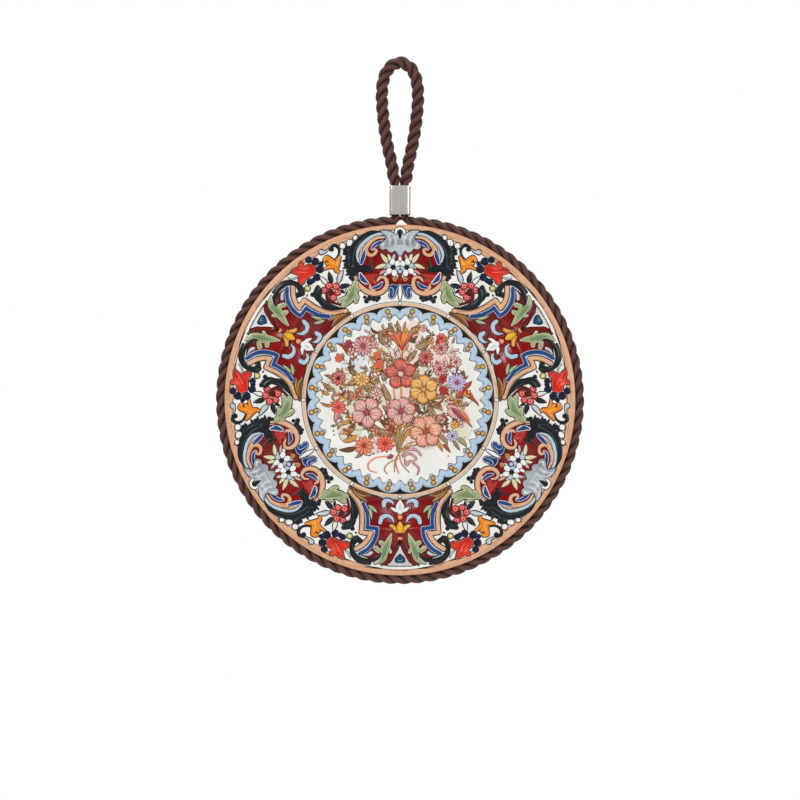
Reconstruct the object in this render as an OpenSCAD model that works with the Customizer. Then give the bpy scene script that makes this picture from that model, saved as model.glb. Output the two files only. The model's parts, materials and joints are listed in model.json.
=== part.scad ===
// Round ceramic wall plate (a hot-pot trivet) bound with a twisted rope.
// The plate hangs below a rope loop that a metal ferrule pinches shut.
// Frame: millimetres, +Z up, the painted face looks along -Y, +X is to the right.
// Origin: where the hook holds the loop, at the top of the loop's opening.

/* [Ceramic disc] */
// Diameter over the rope, which is the width that the plate is sold by
overall_d = 170; // [140:1:220]
// Thickness of the ceramic, with its glaze
disc_t = 8; // [7.6:0.1:12]
// Thickness of the white glaze coat on the painted face
glaze_t = 0.5; // [0.2:0.05:1]
// Radius on the arrises of the disc
arris_r = 0.6; // [0.2:0.1:0.9]

/* [Rope] */
// Diameter of the three-strand rope
rope_d = 6; // [5:0.1:7]
// How deep the rope sits in the groove round the disc's rim
rope_bite = 1.6; // [1:0.1:2]
// Gap between the rope and the wall of its groove
seat_gap = 0.05; // [0.02:0.01:0.2]

/* [Ferrule] */
// Height of the ferrule
ferrule_h = 13.4; // [9:0.1:20]
// Wall of the ferrule
ferrule_wall = 0.7; // [0.4:0.05:1]
// Outer corner radius of the ferrule
ferrule_r = 1.2; // [1.05:0.05:1.6]
// Width of the seam behind, where the edges of the ferrule's sheet meet
seam_w = 0.4; // [0.2:0.05:1]
// Width of each pinched rope leg, as a share of the rope's diameter
pinch_w = 0.68; // [0.6:0.01:0.8]
// Depth of each pinched rope leg, front to back, as a share of the rope's diameter
pinch_t = 1.2; // [1:0.01:1.3]
// Gap between the ferrule's mouth and the rope that it turns on
ferrule_gap = 0.3; // [0.2:0.05:1]

/* [Hanging loop] */
// Height of the loop's opening above the ferrule
loop_h = 54; // [45:1:90]
// Widest distance between the centres of the two rope legs
loop_w = 16.6; // [14:0.2:24]

/* [Cork pad] */
// Diameter of the cork pad glued to the back
cork_d = 140; // [80:1:150]
// Thickness of the cork pad
cork_t = 2; // [1:0.1:4]
// Thickness of the adhesive film under the cork
film_t = 0.15; // [0.05:0.05:0.4]
// How far the film stays inside the cork's edge
film_inset = 2; // [0:0.5:8]

/* [Hidden] */
$fn = 96;

rope_r = rope_d / 2;
// The rope's centreline runs round the rim on this radius
rope_ring_r = overall_d / 2 - rope_r;
disc_r = overall_d / 2 - rope_d + rope_bite;
// Heights above the plate's centre
ferrule_z0 = rope_ring_r + rope_r + ferrule_gap;
ferrule_z1 = ferrule_z0 + ferrule_h;
hook_z = ferrule_z1 + loop_h;
// The front of the disc is at -disc_t / 2, and the rope is at its middle
front_y = -disc_t / 2;
back_y = disc_t / 2;
// The gap between the rope's two legs, and the ferrule pressed round them
leg_gap = 0.1;
leg_w = pinch_w * rope_d;
leg_r = 0.4 * leg_w;
bore_w = 2 * leg_w + leg_gap;
bore_t = pinch_t * rope_d;
ferrule_w = bore_w + 2 * ferrule_wall;
ferrule_t = bore_t + 2 * ferrule_wall;
// The two round legs stand side by side above the ferrule
leg_x = rope_r + leg_gap;
// The rim rope's rounded ends are this much smaller in radius than the rope
nose_inset = 0.1;

// Points down the middle of the right half of the loop, from the ferrule to the top:
// the share of the way from a pinched leg out to the loop's half width, and the share of its rise
loop_rise = loop_h + rope_r;
loop_side = [[0.00, 0.00], [0.00, 0.10], [0.19, 0.20], [0.49, 0.32], [0.74, 0.45], [0.91, 0.58],
             [1.00, 0.69], [0.97, 0.80], [0.76, 0.89], [0.36, 0.955], [-0.20, 0.99]];
// Rings of the tube between two of those points, and sides of each ring
loop_steps = 2;
loop_sides = 12;

function loop_point(p, side) =
    [side * (leg_x + (loop_w / 2 - leg_x) * p[0]), 0, ferrule_z1 + loop_rise * p[1]];
function loop_half(side) = [for (p = loop_side) loop_point(p, side)];
function reversed(list) = [for (i = [len(list) - 1 : -1 : 0]) list[i]];
loop_route = concat(loop_half(1), [[0, 0, ferrule_z1 + loop_rise]], reversed(loop_half(-1)));

// A point between b and c on the smooth curve through a, b, c and d
function smooth(a, b, c, d, t) =
    0.5 * (2 * b + (c - a) * t + (2 * a - 5 * b + 4 * c - d) * t * t + (3 * b - a - 3 * c + d) * t * t * t);
// The curve starts and ends upright, so its end rings lie flat on the ferrule
function route_at(route, i) =
    i < 0 ? 2 * route[0] - route[1]
    : i >= len(route) ? 2 * route[len(route) - 1] - route[len(route) - 2]
    : route[i];
function smooth_route(route, steps) = [
    for (i = [0 : len(route) - 2], k = [0 : steps - 1])
        smooth(route_at(route, i - 1), route[i], route[i + 1], route_at(route, i + 2), k / steps),
    route[len(route) - 1]
];
function unit(v) = v / norm(v);
// The direction of a line at point i; the two ends point straight up and down
function heading(line, i) =
    i == 0 ? [0, 0, 1] : i == len(line) - 1 ? [0, 0, -1] : unit(line[i + 1] - line[i - 1]);
// A ring of the tube, square to the line in the plane of the plate
function tube_ring(centre, along, r, sides) =
    [for (k = [0 : sides - 1])
        let (turn = 360 * k / sides, across = [along[2], 0, -along[0]])
            centre + r * (cos(turn) * across + sin(turn) * [0, 1, 0])];

module tube(line, r, sides) {
    rings = len(line);
    points = [for (i = [0 : rings - 1]) each tube_ring(line[i], heading(line, i), r, sides)];
    walls = [for (i = [0 : rings - 2], k = [0 : sides - 1])
        let (next = (k + 1) % sides, low = i * sides, high = (i + 1) * sides)
            each [[low + k, high + k, high + next], [low + k, high + next, low + next]]];
    start_cap = [for (k = [0 : sides - 1]) k];
    end_cap = [for (k = [sides - 1 : -1 : 0]) (rings - 1) * sides + k];
    polyhedron(points = points, faces = concat([start_cap], walls, [end_cap]));
}

// Everything is drawn round the plate's centre with the disc's axis upright, and then stood up
module at_plate_centre() {
    translate([0, 0, -hook_z]) children();
}

module stood_up() {
    at_plate_centre() rotate([90, 0, 0]) children();
}

// A flat round plate from depth y0 to y1 (y grows towards the back), with a rounded arris
// at y0 where front_r isn't 0 and at y1 where back_r isn't 0
module round_plate(r, y0, y1, front_r = 0, back_r = 0) {
    rotate_extrude()
        difference() {
            translate([0, -y1]) square([r, y1 - y0]);
            if (front_r > 0) arris_cut(r, -y0, front_r, 1);
            if (back_r > 0) arris_cut(r, -y1, back_r, -1);
        }
}

// What a rounded arris takes off the corner at (r, h); side is 1 at the top and -1 at the bottom
module arris_cut(r, h, cut_r, side) {
    difference() {
        translate([r - cut_r, side > 0 ? h - cut_r : h]) square(cut_r);
        translate([r - cut_r, h - side * cut_r]) circle(r = cut_r);
    }
}

module ceramic_disc() {
    color("ivory")
        stood_up()
            difference() {
                round_plate(disc_r, front_y + glaze_t, back_y, 0, arris_r);
                rotate_extrude() translate([rope_ring_r, 0]) circle(r = rope_r + seat_gap);
            }
}

module face_glaze() {
    color("white")
        stood_up()
            round_plate(disc_r, front_y, front_y + glaze_t, min(arris_r, 0.8 * glaze_t));
}

module pad_adhesive() {
    color("lightyellow")
        stood_up()
            round_plate(cork_d / 2 - film_inset, back_y, back_y + film_t);
}

module cork_pad() {
    color("burlywood")
        stood_up()
            difference() {
                round_plate(cork_d / 2, back_y, back_y + film_t + cork_t, 0, min(arris_r, cork_t / 3));
                round_plate(cork_d / 2 - film_inset, back_y - film_t, back_y + film_t);
            }
}

// The rope's two ends come together under the ferrule with round noses that turn with it
module rim_rope() {
    nose_turn = asin(leg_x / rope_ring_r);
    color("saddlebrown")
        stood_up() {
            rotate([0, 0, 90 + nose_turn])
                rotate_extrude(angle = 360 - 2 * nose_turn) translate([rope_ring_r, 0]) circle(r = rope_r);
            for (side = [-1, 1])
                rotate([0, 0, 90 + side * nose_turn]) translate([rope_ring_r, 0, 0])
                    sphere(r = rope_r - nose_inset);
        }
}

// Outline of a rectangle with round corners
module round_rectangle(w, t, r) {
    square([w - 2 * r, t], center = true);
    square([w, t - 2 * r], center = true);
    for (x = [-1, 1], y = [-1, 1])
        translate([x * (w / 2 - r), y * (t / 2 - r)]) circle(r = r);
}

module ferrule() {
    color("silver")
        at_plate_centre()
            translate([0, 0, ferrule_z0])
                linear_extrude(ferrule_h)
                    difference() {
                        round_rectangle(ferrule_w, ferrule_t, ferrule_r);
                        round_rectangle(bore_w, bore_t, ferrule_r - ferrule_wall);
                        translate([-seam_w / 2, bore_t / 2 - ferrule_wall]) square([seam_w, 3 * ferrule_wall]);
                    }
}

// The two legs of the rope, pressed together side by side inside the ferrule
module pinched_legs() {
    color("saddlebrown")
        at_plate_centre()
            for (side = [-1, 1])
                translate([side * (leg_w + leg_gap) / 2, 0, ferrule_z0])
                    linear_extrude(ferrule_h) round_rectangle(leg_w, bore_t, leg_r);
}

module hanging_loop() {
    color("saddlebrown")
        at_plate_centre()
            tube(smooth_route(loop_route, loop_steps), rope_r, loop_sides);
}

ceramic_disc();
face_glaze();
pad_adhesive();
cork_pad();
rim_rope();
ferrule();
pinched_legs();
hanging_loop();
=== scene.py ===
import json
import math
import numpy as np
import bpy
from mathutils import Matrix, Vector
from mathutils.geometry import tessellate_polygon


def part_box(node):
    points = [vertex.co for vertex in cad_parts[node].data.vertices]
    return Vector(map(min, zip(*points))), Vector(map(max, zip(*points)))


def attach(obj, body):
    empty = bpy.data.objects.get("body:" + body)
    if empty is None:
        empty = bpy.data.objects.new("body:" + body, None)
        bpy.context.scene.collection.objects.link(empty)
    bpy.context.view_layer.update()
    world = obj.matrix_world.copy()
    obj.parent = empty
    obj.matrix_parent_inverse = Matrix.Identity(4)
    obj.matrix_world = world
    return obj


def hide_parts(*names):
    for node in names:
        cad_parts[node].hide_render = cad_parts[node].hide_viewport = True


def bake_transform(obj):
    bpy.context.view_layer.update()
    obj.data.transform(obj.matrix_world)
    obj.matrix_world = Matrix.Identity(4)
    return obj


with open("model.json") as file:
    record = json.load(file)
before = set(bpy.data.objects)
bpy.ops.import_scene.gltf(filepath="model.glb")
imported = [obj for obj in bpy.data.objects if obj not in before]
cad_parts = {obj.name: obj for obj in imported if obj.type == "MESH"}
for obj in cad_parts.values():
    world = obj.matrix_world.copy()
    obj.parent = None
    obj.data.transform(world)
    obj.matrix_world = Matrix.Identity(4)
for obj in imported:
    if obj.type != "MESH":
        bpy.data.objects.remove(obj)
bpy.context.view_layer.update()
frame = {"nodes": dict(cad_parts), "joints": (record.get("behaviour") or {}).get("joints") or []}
mm = 0.001

# places that come from the frame, in millimetres
discLow, discHigh = (np.array(corner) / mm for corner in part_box("ceramic_disc"))
ferruleLow, ferruleHigh = (np.array(corner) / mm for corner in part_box("ferrule"))
plateZ = (discLow[2] + discHigh[2]) / 2           # height of the plate's centre
discRadius = (discHigh[0] - discLow[0]) / 2
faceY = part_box("face_glaze")[0][1] / mm           # the painted face
hingeZ = frame["joints"][0]["pos_m"][2] / mm      # the plate swings about the rope's middle line here
ropeRingR = hingeZ - plateZ                       # radius of the rope's middle line round the rim


# sRGB hex to linear: below 0.04045 divide by 12.92, else ((c + 0.055) / 1.055) to the power 2.4
def linear(hexColour):
    parts = np.array([int(hexColour[i:i + 2], 16) for i in (1, 3, 5)]) / 255
    curve = np.where(parts <= 0.04045, parts / 12.92, ((parts + 0.055) / 1.055) ** 2.4)
    return (*[float(v) for v in curve], 1.0)


# Adds one node: settings are its properties, values its unlinked inputs, links the sockets that feed it
def addNode(tree, kind, settings=None, values=None, links=None):
    node = tree.nodes.new("ShaderNode" + kind)
    for name, value in (settings or {}).items():
        setattr(node, name, value)
    for name, value in (values or {}).items():
        node.inputs[name].default_value = value
    for name, socket in (links or {}).items():
        tree.links.new(socket, node.inputs[name])
    return node


# Puts a mesh of points (mm) and faces into the scene, with its place in the mesh
def addMesh(name, points, faces, smooth=True, tone=None, uv=None):
    mesh = bpy.data.meshes.new(name)
    mesh.from_pydata((np.asarray(points) * mm).tolist(), [], faces)
    mesh.polygons.foreach_set("use_smooth", np.full(len(faces), smooth))
    if tone is not None:
        mesh.attributes.new("tone", "FLOAT", "POINT").data.foreach_set("value", tone.astype(np.float32))
    if uv is not None:
        corners = np.zeros(len(mesh.loops), dtype=np.int32)
        mesh.loops.foreach_get("vertex_index", corners)
        mesh.uv_layers.new(name="uv").data.foreach_set("uv", uv[corners].astype(np.float32).ravel())
    mesh.update(calc_edges=True)
    piece = bpy.data.objects.new(name, mesh)
    bpy.context.scene.collection.objects.link(piece)
    return piece


# Quads of a grid of rows by columns; a closed direction joins its last line to its first
def gridFaces(rows, columns, closedRows=False, closedColumns=False):
    i = np.arange(rows if closedRows else rows - 1)[:, None]
    j = np.arange(columns if closedColumns else columns - 1)[None, :]
    nextI, nextJ = (i + 1) % rows, (j + 1) % columns
    corners = [i * columns + j, i * columns + nextJ, nextI * columns + nextJ, nextI * columns + j]
    return np.stack([np.broadcast_to(c, (i.size, j.size)) for c in corners], -1).reshape(-1, 4)


# Catmull-Rom through the points: half of 2b + (c-a)t + (2a-5b+4c-d)tt + (3b-a-3c+d)ttt between b and c
def smoothPath(points, steps, closed=False):
    p = np.asarray(points, float)
    if closed:
        a, b, c, d = (np.roll(p, shift, axis=0) for shift in (1, 0, -1, -2))
    else:
        q = np.vstack([2 * p[0] - p[1], p, 2 * p[-1] - p[-2]])
        a, b, c, d = q[:-3], q[1:-2], q[2:-1], q[3:]
    a, b, c, d = (side[:, None, :] for side in (a, b, c, d))
    t = (np.arange(steps) / steps)[None, :, None]
    line = 0.5 * (2 * b + (c - a) * t + (2 * a - 5 * b + 4 * c - d) * t ** 2 + (3 * b - a - 3 * c + d)
        * t ** 3)
    line = line.reshape(-1, p.shape[1])
    return line if closed else np.vstack([line, p[-1:]])


# ---- camera first, level with the plate's centre and straight on to the painted face
cameraSize = {"lens": 100.0, "sensor": 36.0, "viewWidth": 367.6}
cameraData = bpy.data.cameras.new("camera")
cameraData.lens = cameraSize["lens"]
cameraData.sensor_width = cameraSize["sensor"]
cameraData.clip_end = 20
camera = bpy.data.objects.new("camera", cameraData)
cameraAway = cameraSize["viewWidth"] * cameraSize["lens"] / cameraSize["sensor"]
camera.location = (0, (faceY - cameraAway) * mm, plateZ * mm)
camera.rotation_euler = (math.radians(90), 0, 0)
bpy.context.scene.collection.objects.link(camera)
bpy.context.scene.camera = camera
print("camera", round(cameraAway), "mm from the face")


# ---- the rope: three strands laid right-handed, each twisted from yarns that turn the other way
# grooveShadeFrom and grooveShadeSpan set where the painted shade in the grooves between the strands starts
# and how far it runs
rope = {"diameter": 6.0, "pitch": 15.4, "rimPitch": 18.9, "strandR": 1.64, "around": 32, "spacing": 0.75,
    "yarns": 8, "yarnDepth": 0.06, "yarnTurns": 1.6, "grooveShadeFrom": 0.55, "grooveShadeSpan": 0.45}


# A strand's middle circles the rope's middle line once a pitch, and the strand is a tube round it whose
# radius ripples with its yarns; squash(points) narrows the rope across and front to back
def laidRope(line, squash=None, turned=0.0, pitch=rope["pitch"]):
    line = np.asarray(line, float)
    along = np.concatenate([[0], np.cumsum(np.linalg.norm(np.diff(line, axis=0), axis=1))])
    wanted = np.linspace(0, along[-1], int(along[-1] / rope["spacing"]) + 2)
    points = np.stack([np.interp(wanted, along, line[:, k]) for k in range(3)], 1)
    forward = np.gradient(points, axis=0)
    forward /= np.linalg.norm(forward, axis=1, keepdims=True)
    back = np.array([0.0, 1.0, 0.0])
    side = np.cross(back, forward)
    side /= np.linalg.norm(side, axis=1, keepdims=True)
    squeeze = np.ones((len(points), 2)) if squash is None else squash(points)
    centreR = rope["diameter"] / 2 - rope["strandR"]
    turn = 2 * np.pi * wanted / pitch + turned
    around = np.linspace(0, 2 * np.pi, rope["around"], endpoint=False)[None, :]
    rows, columns = len(points), rope["around"]
    allPoints, allFaces, allUv, allGrooveShade = [], [], [], []
    for k in range(3):
        angle = (turn + 2 * np.pi * k / 3)[:, None]
        yarn = rope["yarns"] * (around + rope["yarnTurns"] * angle)
        r = rope["strandR"] + rope["yarnDepth"] * (np.abs(np.cos(yarn / 2)) - 1)
        local = np.stack([centreR * np.cos(angle) + r * np.cos(around + angle), centreR * np.sin(angle) + r
            * np.sin(around + angle)], -1) * squeeze[:, None, :]
        surface = points[:, None, :] + local[..., :1] * side[:, None, :] + local[..., 1:] * back
        first = rows * columns * k
        allFaces += (gridFaces(rows, columns, closedColumns=True) + first).tolist()
        allFaces += [list(range(first + columns - 1, first - 1, -1)),
            list(range(first + (rows - 1) * columns, first + rows * columns))]
        # painted shade: a point's value falls the nearer it lies to the rope's middle line, down in the
        # grooves between the strands, and the cord's finish darkens it there
        reach = np.hypot(*np.moveaxis(local / squeeze[:, None, :], -1, 0)) / (rope["diameter"] / 2)
        allGrooveShade.append(np.clip((reach - rope["grooveShadeFrom"]) / rope["grooveShadeSpan"], 0, 1).ravel())
        allPoints.append(surface.reshape(-1, 3))
        allUv.append(np.stack([np.broadcast_to(around / (2 * np.pi), r.shape),
            np.broadcast_to(wanted[:, None] / 10, r.shape)], -1).reshape(-1, 2))
    return np.concatenate(allPoints), allFaces, np.concatenate(allUv), np.concatenate(allGrooveShade), along[-1]


# the loop's middle line: the same points as the CAD tube's
loop = {"height": 54.0, "width": 16.6, "legX": 3.1, "pinchedX": 2.09, "leanRise": 5, "pressRise": 3.4,
    "pressAcross": 0.29, "pressDeep": 0.14, "side": [[0.00, 0.00], [0.00, 0.10], [0.19, 0.20], [0.49, 0.32],
    [0.74, 0.45], [0.91, 0.58], [1.00, 0.69], [0.97, 0.80], [0.76, 0.89], [0.36, 0.955], [-0.20, 0.99]]}
loopRise = loop["height"] + rope["diameter"] / 2
loopSide = np.array([[loop["legX"] + (loop["width"] / 2 - loop["legX"]) * share, 0, ferruleHigh[2] + loopRise
    * rise] for share, rise in loop["side"]])
loopPoints = np.vstack([loopSide, [[0, 0, ferruleHigh[2] + loopRise]], loopSide[::-1] * [-1, 1, 1]])
loopLine = smoothPath(loopPoints, 8)
# the legs lean in to their pinched places over the last few millimetres above the ferrule
pinchShare = np.clip((ferruleHigh[2] + loop["leanRise"] - loopLine[:, 2]) / loop["leanRise"], 0, 1)
pinchShare = pinchShare ** 2 * (3 - 2 * pinchShare)
loopShown = loopLine.copy()
loopShown[:, 0] -= np.sign(loopLine[:, 0]) * (loop["legX"] - loop["pinchedX"]) * pinchShare


# how much a rope leg is pressed near the ferrule: narrower across the two legs, deeper front to back
def pinchAbove(points):
    share = np.clip((ferruleHigh[2] + loop["pressRise"] - points[:, 2]) / loop["pressRise"], 0, 1)
    share = share ** 2 * (3 - 2 * share)
    return np.stack([1 - loop["pressAcross"] * share, 1 + loop["pressDeep"] * share], 1)


points, faces, uv, grooveShade, loopLength = laidRope(loopShown, pinchAbove, turned=0.4)
loopRope = addMesh("loopRope", points, faces, tone=grooveShade, uv=uv)
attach(loopRope, "hanger")
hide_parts("hanging_loop")
print("loop", round(loopLength, 1), "mm of rope")


# A circle about the plate's centre in its middle plane: radius times (cosine, sine) of degrees from +X,
# anticlockwise in front
def ringLine(radius, degrees):
    turn = np.radians(degrees)
    return np.stack([radius * np.cos(turn), np.zeros(len(degrees)), plateZ + radius * np.sin(turn)], 1)


# the rope round the rim, with its two ends drawn in to points that meet under the ferrule
rimEnds = {"noseX": 0.2, "meetX": 0.6, "noseLift": 2.5, "taper": 7.5, "noseSize": 0.15, "curve": 2.2}
meetTurn, noseTurn = (math.degrees(math.asin(rimEnds[key] / ropeRingR)) for key in ("meetX", "noseX"))
rimDegrees = np.linspace(90 - meetTurn - noseTurn, -270 - meetTurn + noseTurn, 640)
rimLine = ringLine(ropeRingR, rimDegrees)
fromEnd = np.radians(np.minimum(rimDegrees[0] - rimDegrees, rimDegrees - rimDegrees[-1])) * ropeRingR
drawnIn = (1 - np.clip(fromEnd / rimEnds["taper"], 0, 1)) ** rimEnds["curve"]
rimLine[:, 2] += rimEnds["noseLift"] * drawnIn


# near its ends the rope narrows to a share of its thickness
def drawIn(points):
    reach = np.abs(points[:, 0] - rimEnds["meetX"]) - rimEnds["noseX"]
    share = np.where(points[:, 2] > plateZ, (1 - np.clip(reach / rimEnds["taper"], 0, 1)) ** rimEnds["curve"],
        0)
    size = 1 - (1 - rimEnds["noseSize"]) * share
    return np.stack([size, size], 1)


points, faces, uv, grooveShade, rimLength = laidRope(rimLine, drawIn, pitch=rope["rimPitch"])
rimRope = addMesh("rimRope", points, faces, tone=grooveShade, uv=uv)
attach(rimRope, "plate")
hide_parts("rim_rope")

# the short necks that turn up out of the rim into the ferrule's mouth
neck = {"x": [1.9, 2.0, 2.09, 2.09], "bottom": 0.9, "lower": 1.9, "top": 1.5, "squeeze": (0.66, 0.9),
    "turn": 1.5}
neckParts = []
for side in (-1, 1):
    neckX = np.array(neck["x"]) * side
    neckZ = np.array([ropeRingR + neck["bottom"], ropeRingR + neck["lower"], ferruleLow[2] - plateZ,
        ferruleLow[2] - plateZ + neck["top"]])
    neckLine = smoothPath(np.stack([neckX, neckX * 0, plateZ + neckZ], 1), 8)
    neckParts.append(laidRope(neckLine, lambda p: np.full((len(p), 2), neck["squeeze"]), turned=neck["turn"]
        * side))
offset = len(neckParts[0][0])
# the necks' tone carries the painted shade in the grooves between their strands
neckRope = addMesh("neckRope", np.concatenate([part[0] for part in neckParts]), neckParts[0][1]
    + [[i + offset for i in face] for face in neckParts[1][1]],
    tone=np.concatenate([part[3] for part in neckParts]), uv=np.concatenate([part[2] for part in neckParts]))
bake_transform(neckRope)
print("rim", round(rimLength), "mm of rope")

# ---- the ferrule: a sheet bent to a rounded rectangle, with rolled lips and its seam behind
ferrule = {"corner": 1.5, "lip": 0.3, "seam": 0.2, "wall": 0.7}


# Outline of the bent sheet, seen from above, from one side of the seam round the front to the other:
# four straight sides with quarter-circle corners; returns points and outward directions
def sheetOutline(halfX, halfY, corner, seamHalf, steps=10):
    quarter = np.linspace(0, np.pi / 2, steps)
    places, ways = [[(seamHalf, halfY)]], [[(0, 1)]]
    for turns, (sx, sy) in enumerate([(1, 1), (1, -1), (-1, -1), (-1, 1)]):
        angle = np.pi / 2 - quarter - turns * np.pi / 2
        way = np.stack([np.cos(angle), np.sin(angle)], 1)
        places.append(np.array([sx * (halfX - corner), sy * (halfY - corner)]) + corner * way)
        ways.append(way)
    places.append([(-seamHalf, halfY)])
    ways.append([(0, 1)])
    return np.vstack(places), np.vstack(ways)


halfX, halfY = ferruleHigh[0], ferruleHigh[1]
outline, ways = sheetOutline(halfX, halfY, ferrule["corner"], ferrule["seam"])
lipTurn = np.linspace(0, np.pi, 9)
lipIn = ferrule["wall"] / 2 * (1 - np.cos(lipTurn))          # how far in from the outer face
lipUp = ferrule["lip"] * np.sin(lipTurn)
ladder = np.linspace(ferruleLow[2] + ferrule["lip"], ferruleHigh[2] - ferrule["lip"], 8)
wallIn = np.concatenate([ladder * 0, lipIn[1:], ladder[::-1][1:] * 0 + ferrule["wall"], lipIn[::-1][1:-1]])
wallZ = np.concatenate([ladder, ladder[-1] + lipUp[1:], ladder[::-1][1:], ladder[0] - lipUp[1:-1]])
shell = np.zeros((len(wallIn), len(outline), 3))
shell[..., :2] = outline[None] - wallIn[:, None, None] * ways[None]
shell[..., 2] = wallZ[:, None]
shellRows, shellColumns = shell.shape[:2]
shellFaces = gridFaces(shellRows, shellColumns, closedRows=True)[:, ::-1].tolist()
shellFaces.append([i * shellColumns for i in range(shellRows)])
shellFaces.append([i * shellColumns + shellColumns - 1 for i in range(shellRows)][::-1])
ferruleShell = addMesh("ferruleShell", shell.reshape(-1, 3), shellFaces)
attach(ferruleShell, "hanger")
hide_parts("ferrule")
print("ferrule")


# ---- finishes
multiplied = {"data_type": "RGBA", "blend_type": "MULTIPLY"}


# Starts a material: returns it with its node tree, its shader and its object coordinates
def addFinish(name, **sockets):
    finish = bpy.data.materials.new(name)
    finish.use_nodes = True
    tree = finish.node_tree
    shader = tree.nodes["Principled BSDF"]
    for socket, value in sockets.items():
        shader.inputs[socket.replace("_", " ")].default_value = value
    place = addNode(tree, "TexCoord").outputs["Object"]
    return finish, tree, shader, place


# A ramp node that runs through (position, hex colour) stops
def addRamp(tree, factor, stops):
    ramp = addNode(tree, "ValToRGB", links={"Fac": factor})
    while len(ramp.color_ramp.elements) < len(stops):
        ramp.color_ramp.elements.new(0.5)
    for element, (position, hexColour) in zip(ramp.color_ramp.elements, stops):
        element.position = position
        element.color = linear(hexColour)
    return ramp.outputs["Color"]


# Bends the shading normal by the slope of a height that runs over a distance in metres, times a strength
def addBump(tree, shader, height, distance, strength=1.0):
    bump = addNode(tree, "Bump", values={"Distance": distance, "Strength": strength},
        links={"Height": height})
    tree.links.new(bump.outputs["Normal"], shader.inputs["Normal"])


# Twisted polyester cord: fine glossy filaments, with painted shade that turns it near black in the grooves
# between its strands
cordFinish, tree, shader, place = addFinish("twisted polyester cord", Roughness=0.58, Sheen_Weight=0.25,
    Sheen_Roughness=0.4, Specular_IOR_Level=0.35)
# the tone attribute carries the painted shade in the grooves: low there, high on the strands' crowns
tone = addNode(tree, "Attribute", {"attribute_name": "tone"}).outputs["Fac"]
uvMap = addNode(tree, "UVMap", {"uv_map": "uv"}).outputs["UV"]
# filaments lie along the strand, turned like its yarns; 0.25 mm apart, coarser than real so that they show
lean = addNode(tree, "Mapping", values={"Rotation": (0, 0, 0.35), "Scale": (36, 2.4, 1)},
    links={"Vector": uvMap})
filament = addNode(tree, "TexNoise", values={"Scale": 1.0, "Detail": 3.0, "Roughness": 0.6},
    links={"Vector": lean.outputs["Vector"]}).outputs["Fac"]
fuzz = addNode(tree, "TexNoise", values={"Scale": 420.0, "Detail": 2.0},
    links={"Vector": place}).outputs["Fac"]
mixed = addNode(tree, "Math", {"operation": "MULTIPLY_ADD"}, {1: 0.45, 2: -0.22}, {0: filament}).outputs[0]
level = addNode(tree, "Math", {"operation": "ADD"}, {}, {0: tone, 1: mixed}).outputs[0]
# painted shade: the ramp's near-black end falls in the grooves between the strands
cordColour = addRamp(tree, level, [(0.0, "#140504"), (0.24, "#2B110C"), (0.52, "#46231A"), (0.95, "#61382D")])
speck = addNode(tree, "Mix", multiplied, {"Factor": 0.3},
    {"A": cordColour, "B": addRamp(tree, fuzz, [(0.35, "#B0A090"), (0.65, "#FFFFFF")])}).outputs["Result"]
tree.links.new(speck, shader.inputs["Base Color"])
addBump(tree, shader, filament, 0.0001, 0.7)

# Satin nickel plate on steel: soft pinkish reflections, faint upright brushing
nickel, tree, shader, place = addFinish("satin nickel plate", Metallic=0.78, Roughness=0.36)
brushed = addNode(tree, "Mapping", values={"Scale": (2600, 2600, 60)}, links={"Vector": place})
brushing = addNode(tree, "TexNoise", values={"Scale": 1.0, "Detail": 2.0},
    links={"Vector": brushed.outputs["Vector"]}).outputs["Fac"]
tree.links.new(addRamp(tree, brushing, [(0.3, "#DAD2CF"), (0.7, "#E8E2DF")]), shader.inputs["Base Color"])
tree.links.new(addNode(tree, "MapRange", values={"To Min": 0.26, "To Max": 0.38},
    links={"Value": brushing}).outputs["Result"], shader.inputs["Roughness"])
addBump(tree, shader, brushing, 0.00001, 0.4)

# Glossy opaque white glaze: warm white, with faint clouds and pinholes
glaze, tree, shader, place = addFinish("opaque white glaze", Roughness=0.14, IOR=1.5)
cloud = addNode(tree, "TexNoise", values={"Scale": 60.0, "Detail": 4.0},
    links={"Vector": place}).outputs["Fac"]
pin = addNode(tree, "TexVoronoi", values={"Scale": 900.0}, links={"Vector": place}).outputs["Distance"]
glazeColour = addNode(tree, "Mix", multiplied, {"Factor": 1.0},
    {"A": addRamp(tree, cloud, [(0.35, "#E4E2DA"), (0.65, "#F0EEE9")]),
    "B": addRamp(tree, pin, [(0.04, "#B9B4A8"), (0.12, "#FFFFFF")])}).outputs["Result"]
tree.links.new(glazeColour, shader.inputs["Base Color"])
addBump(tree, shader, cloud, 0.00004, 0.5)

# Unglazed stoneware: chalky cream with fine iron specks
biscuit, tree, shader, place = addFinish("unglazed stoneware", Roughness=0.82)
grain = addNode(tree, "TexNoise", values={"Scale": 1500.0, "Detail": 3.0},
    links={"Vector": place}).outputs["Fac"]
iron = addNode(tree, "TexVoronoi", values={"Scale": 500.0}, links={"Vector": place}).outputs["Distance"]
body = addNode(tree, "Mix", multiplied, {"Factor": 1.0},
    {"A": addRamp(tree, grain, [(0.3, "#D9CFBB"), (0.7, "#E9E1D0")]),
    "B": addRamp(tree, iron, [(0.1, "#8A7358"), (0.2, "#FFFFFF")])}).outputs["Result"]
tree.links.new(body, shader.inputs["Base Color"])
addBump(tree, shader, grain, 0.00006, 0.6)

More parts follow.
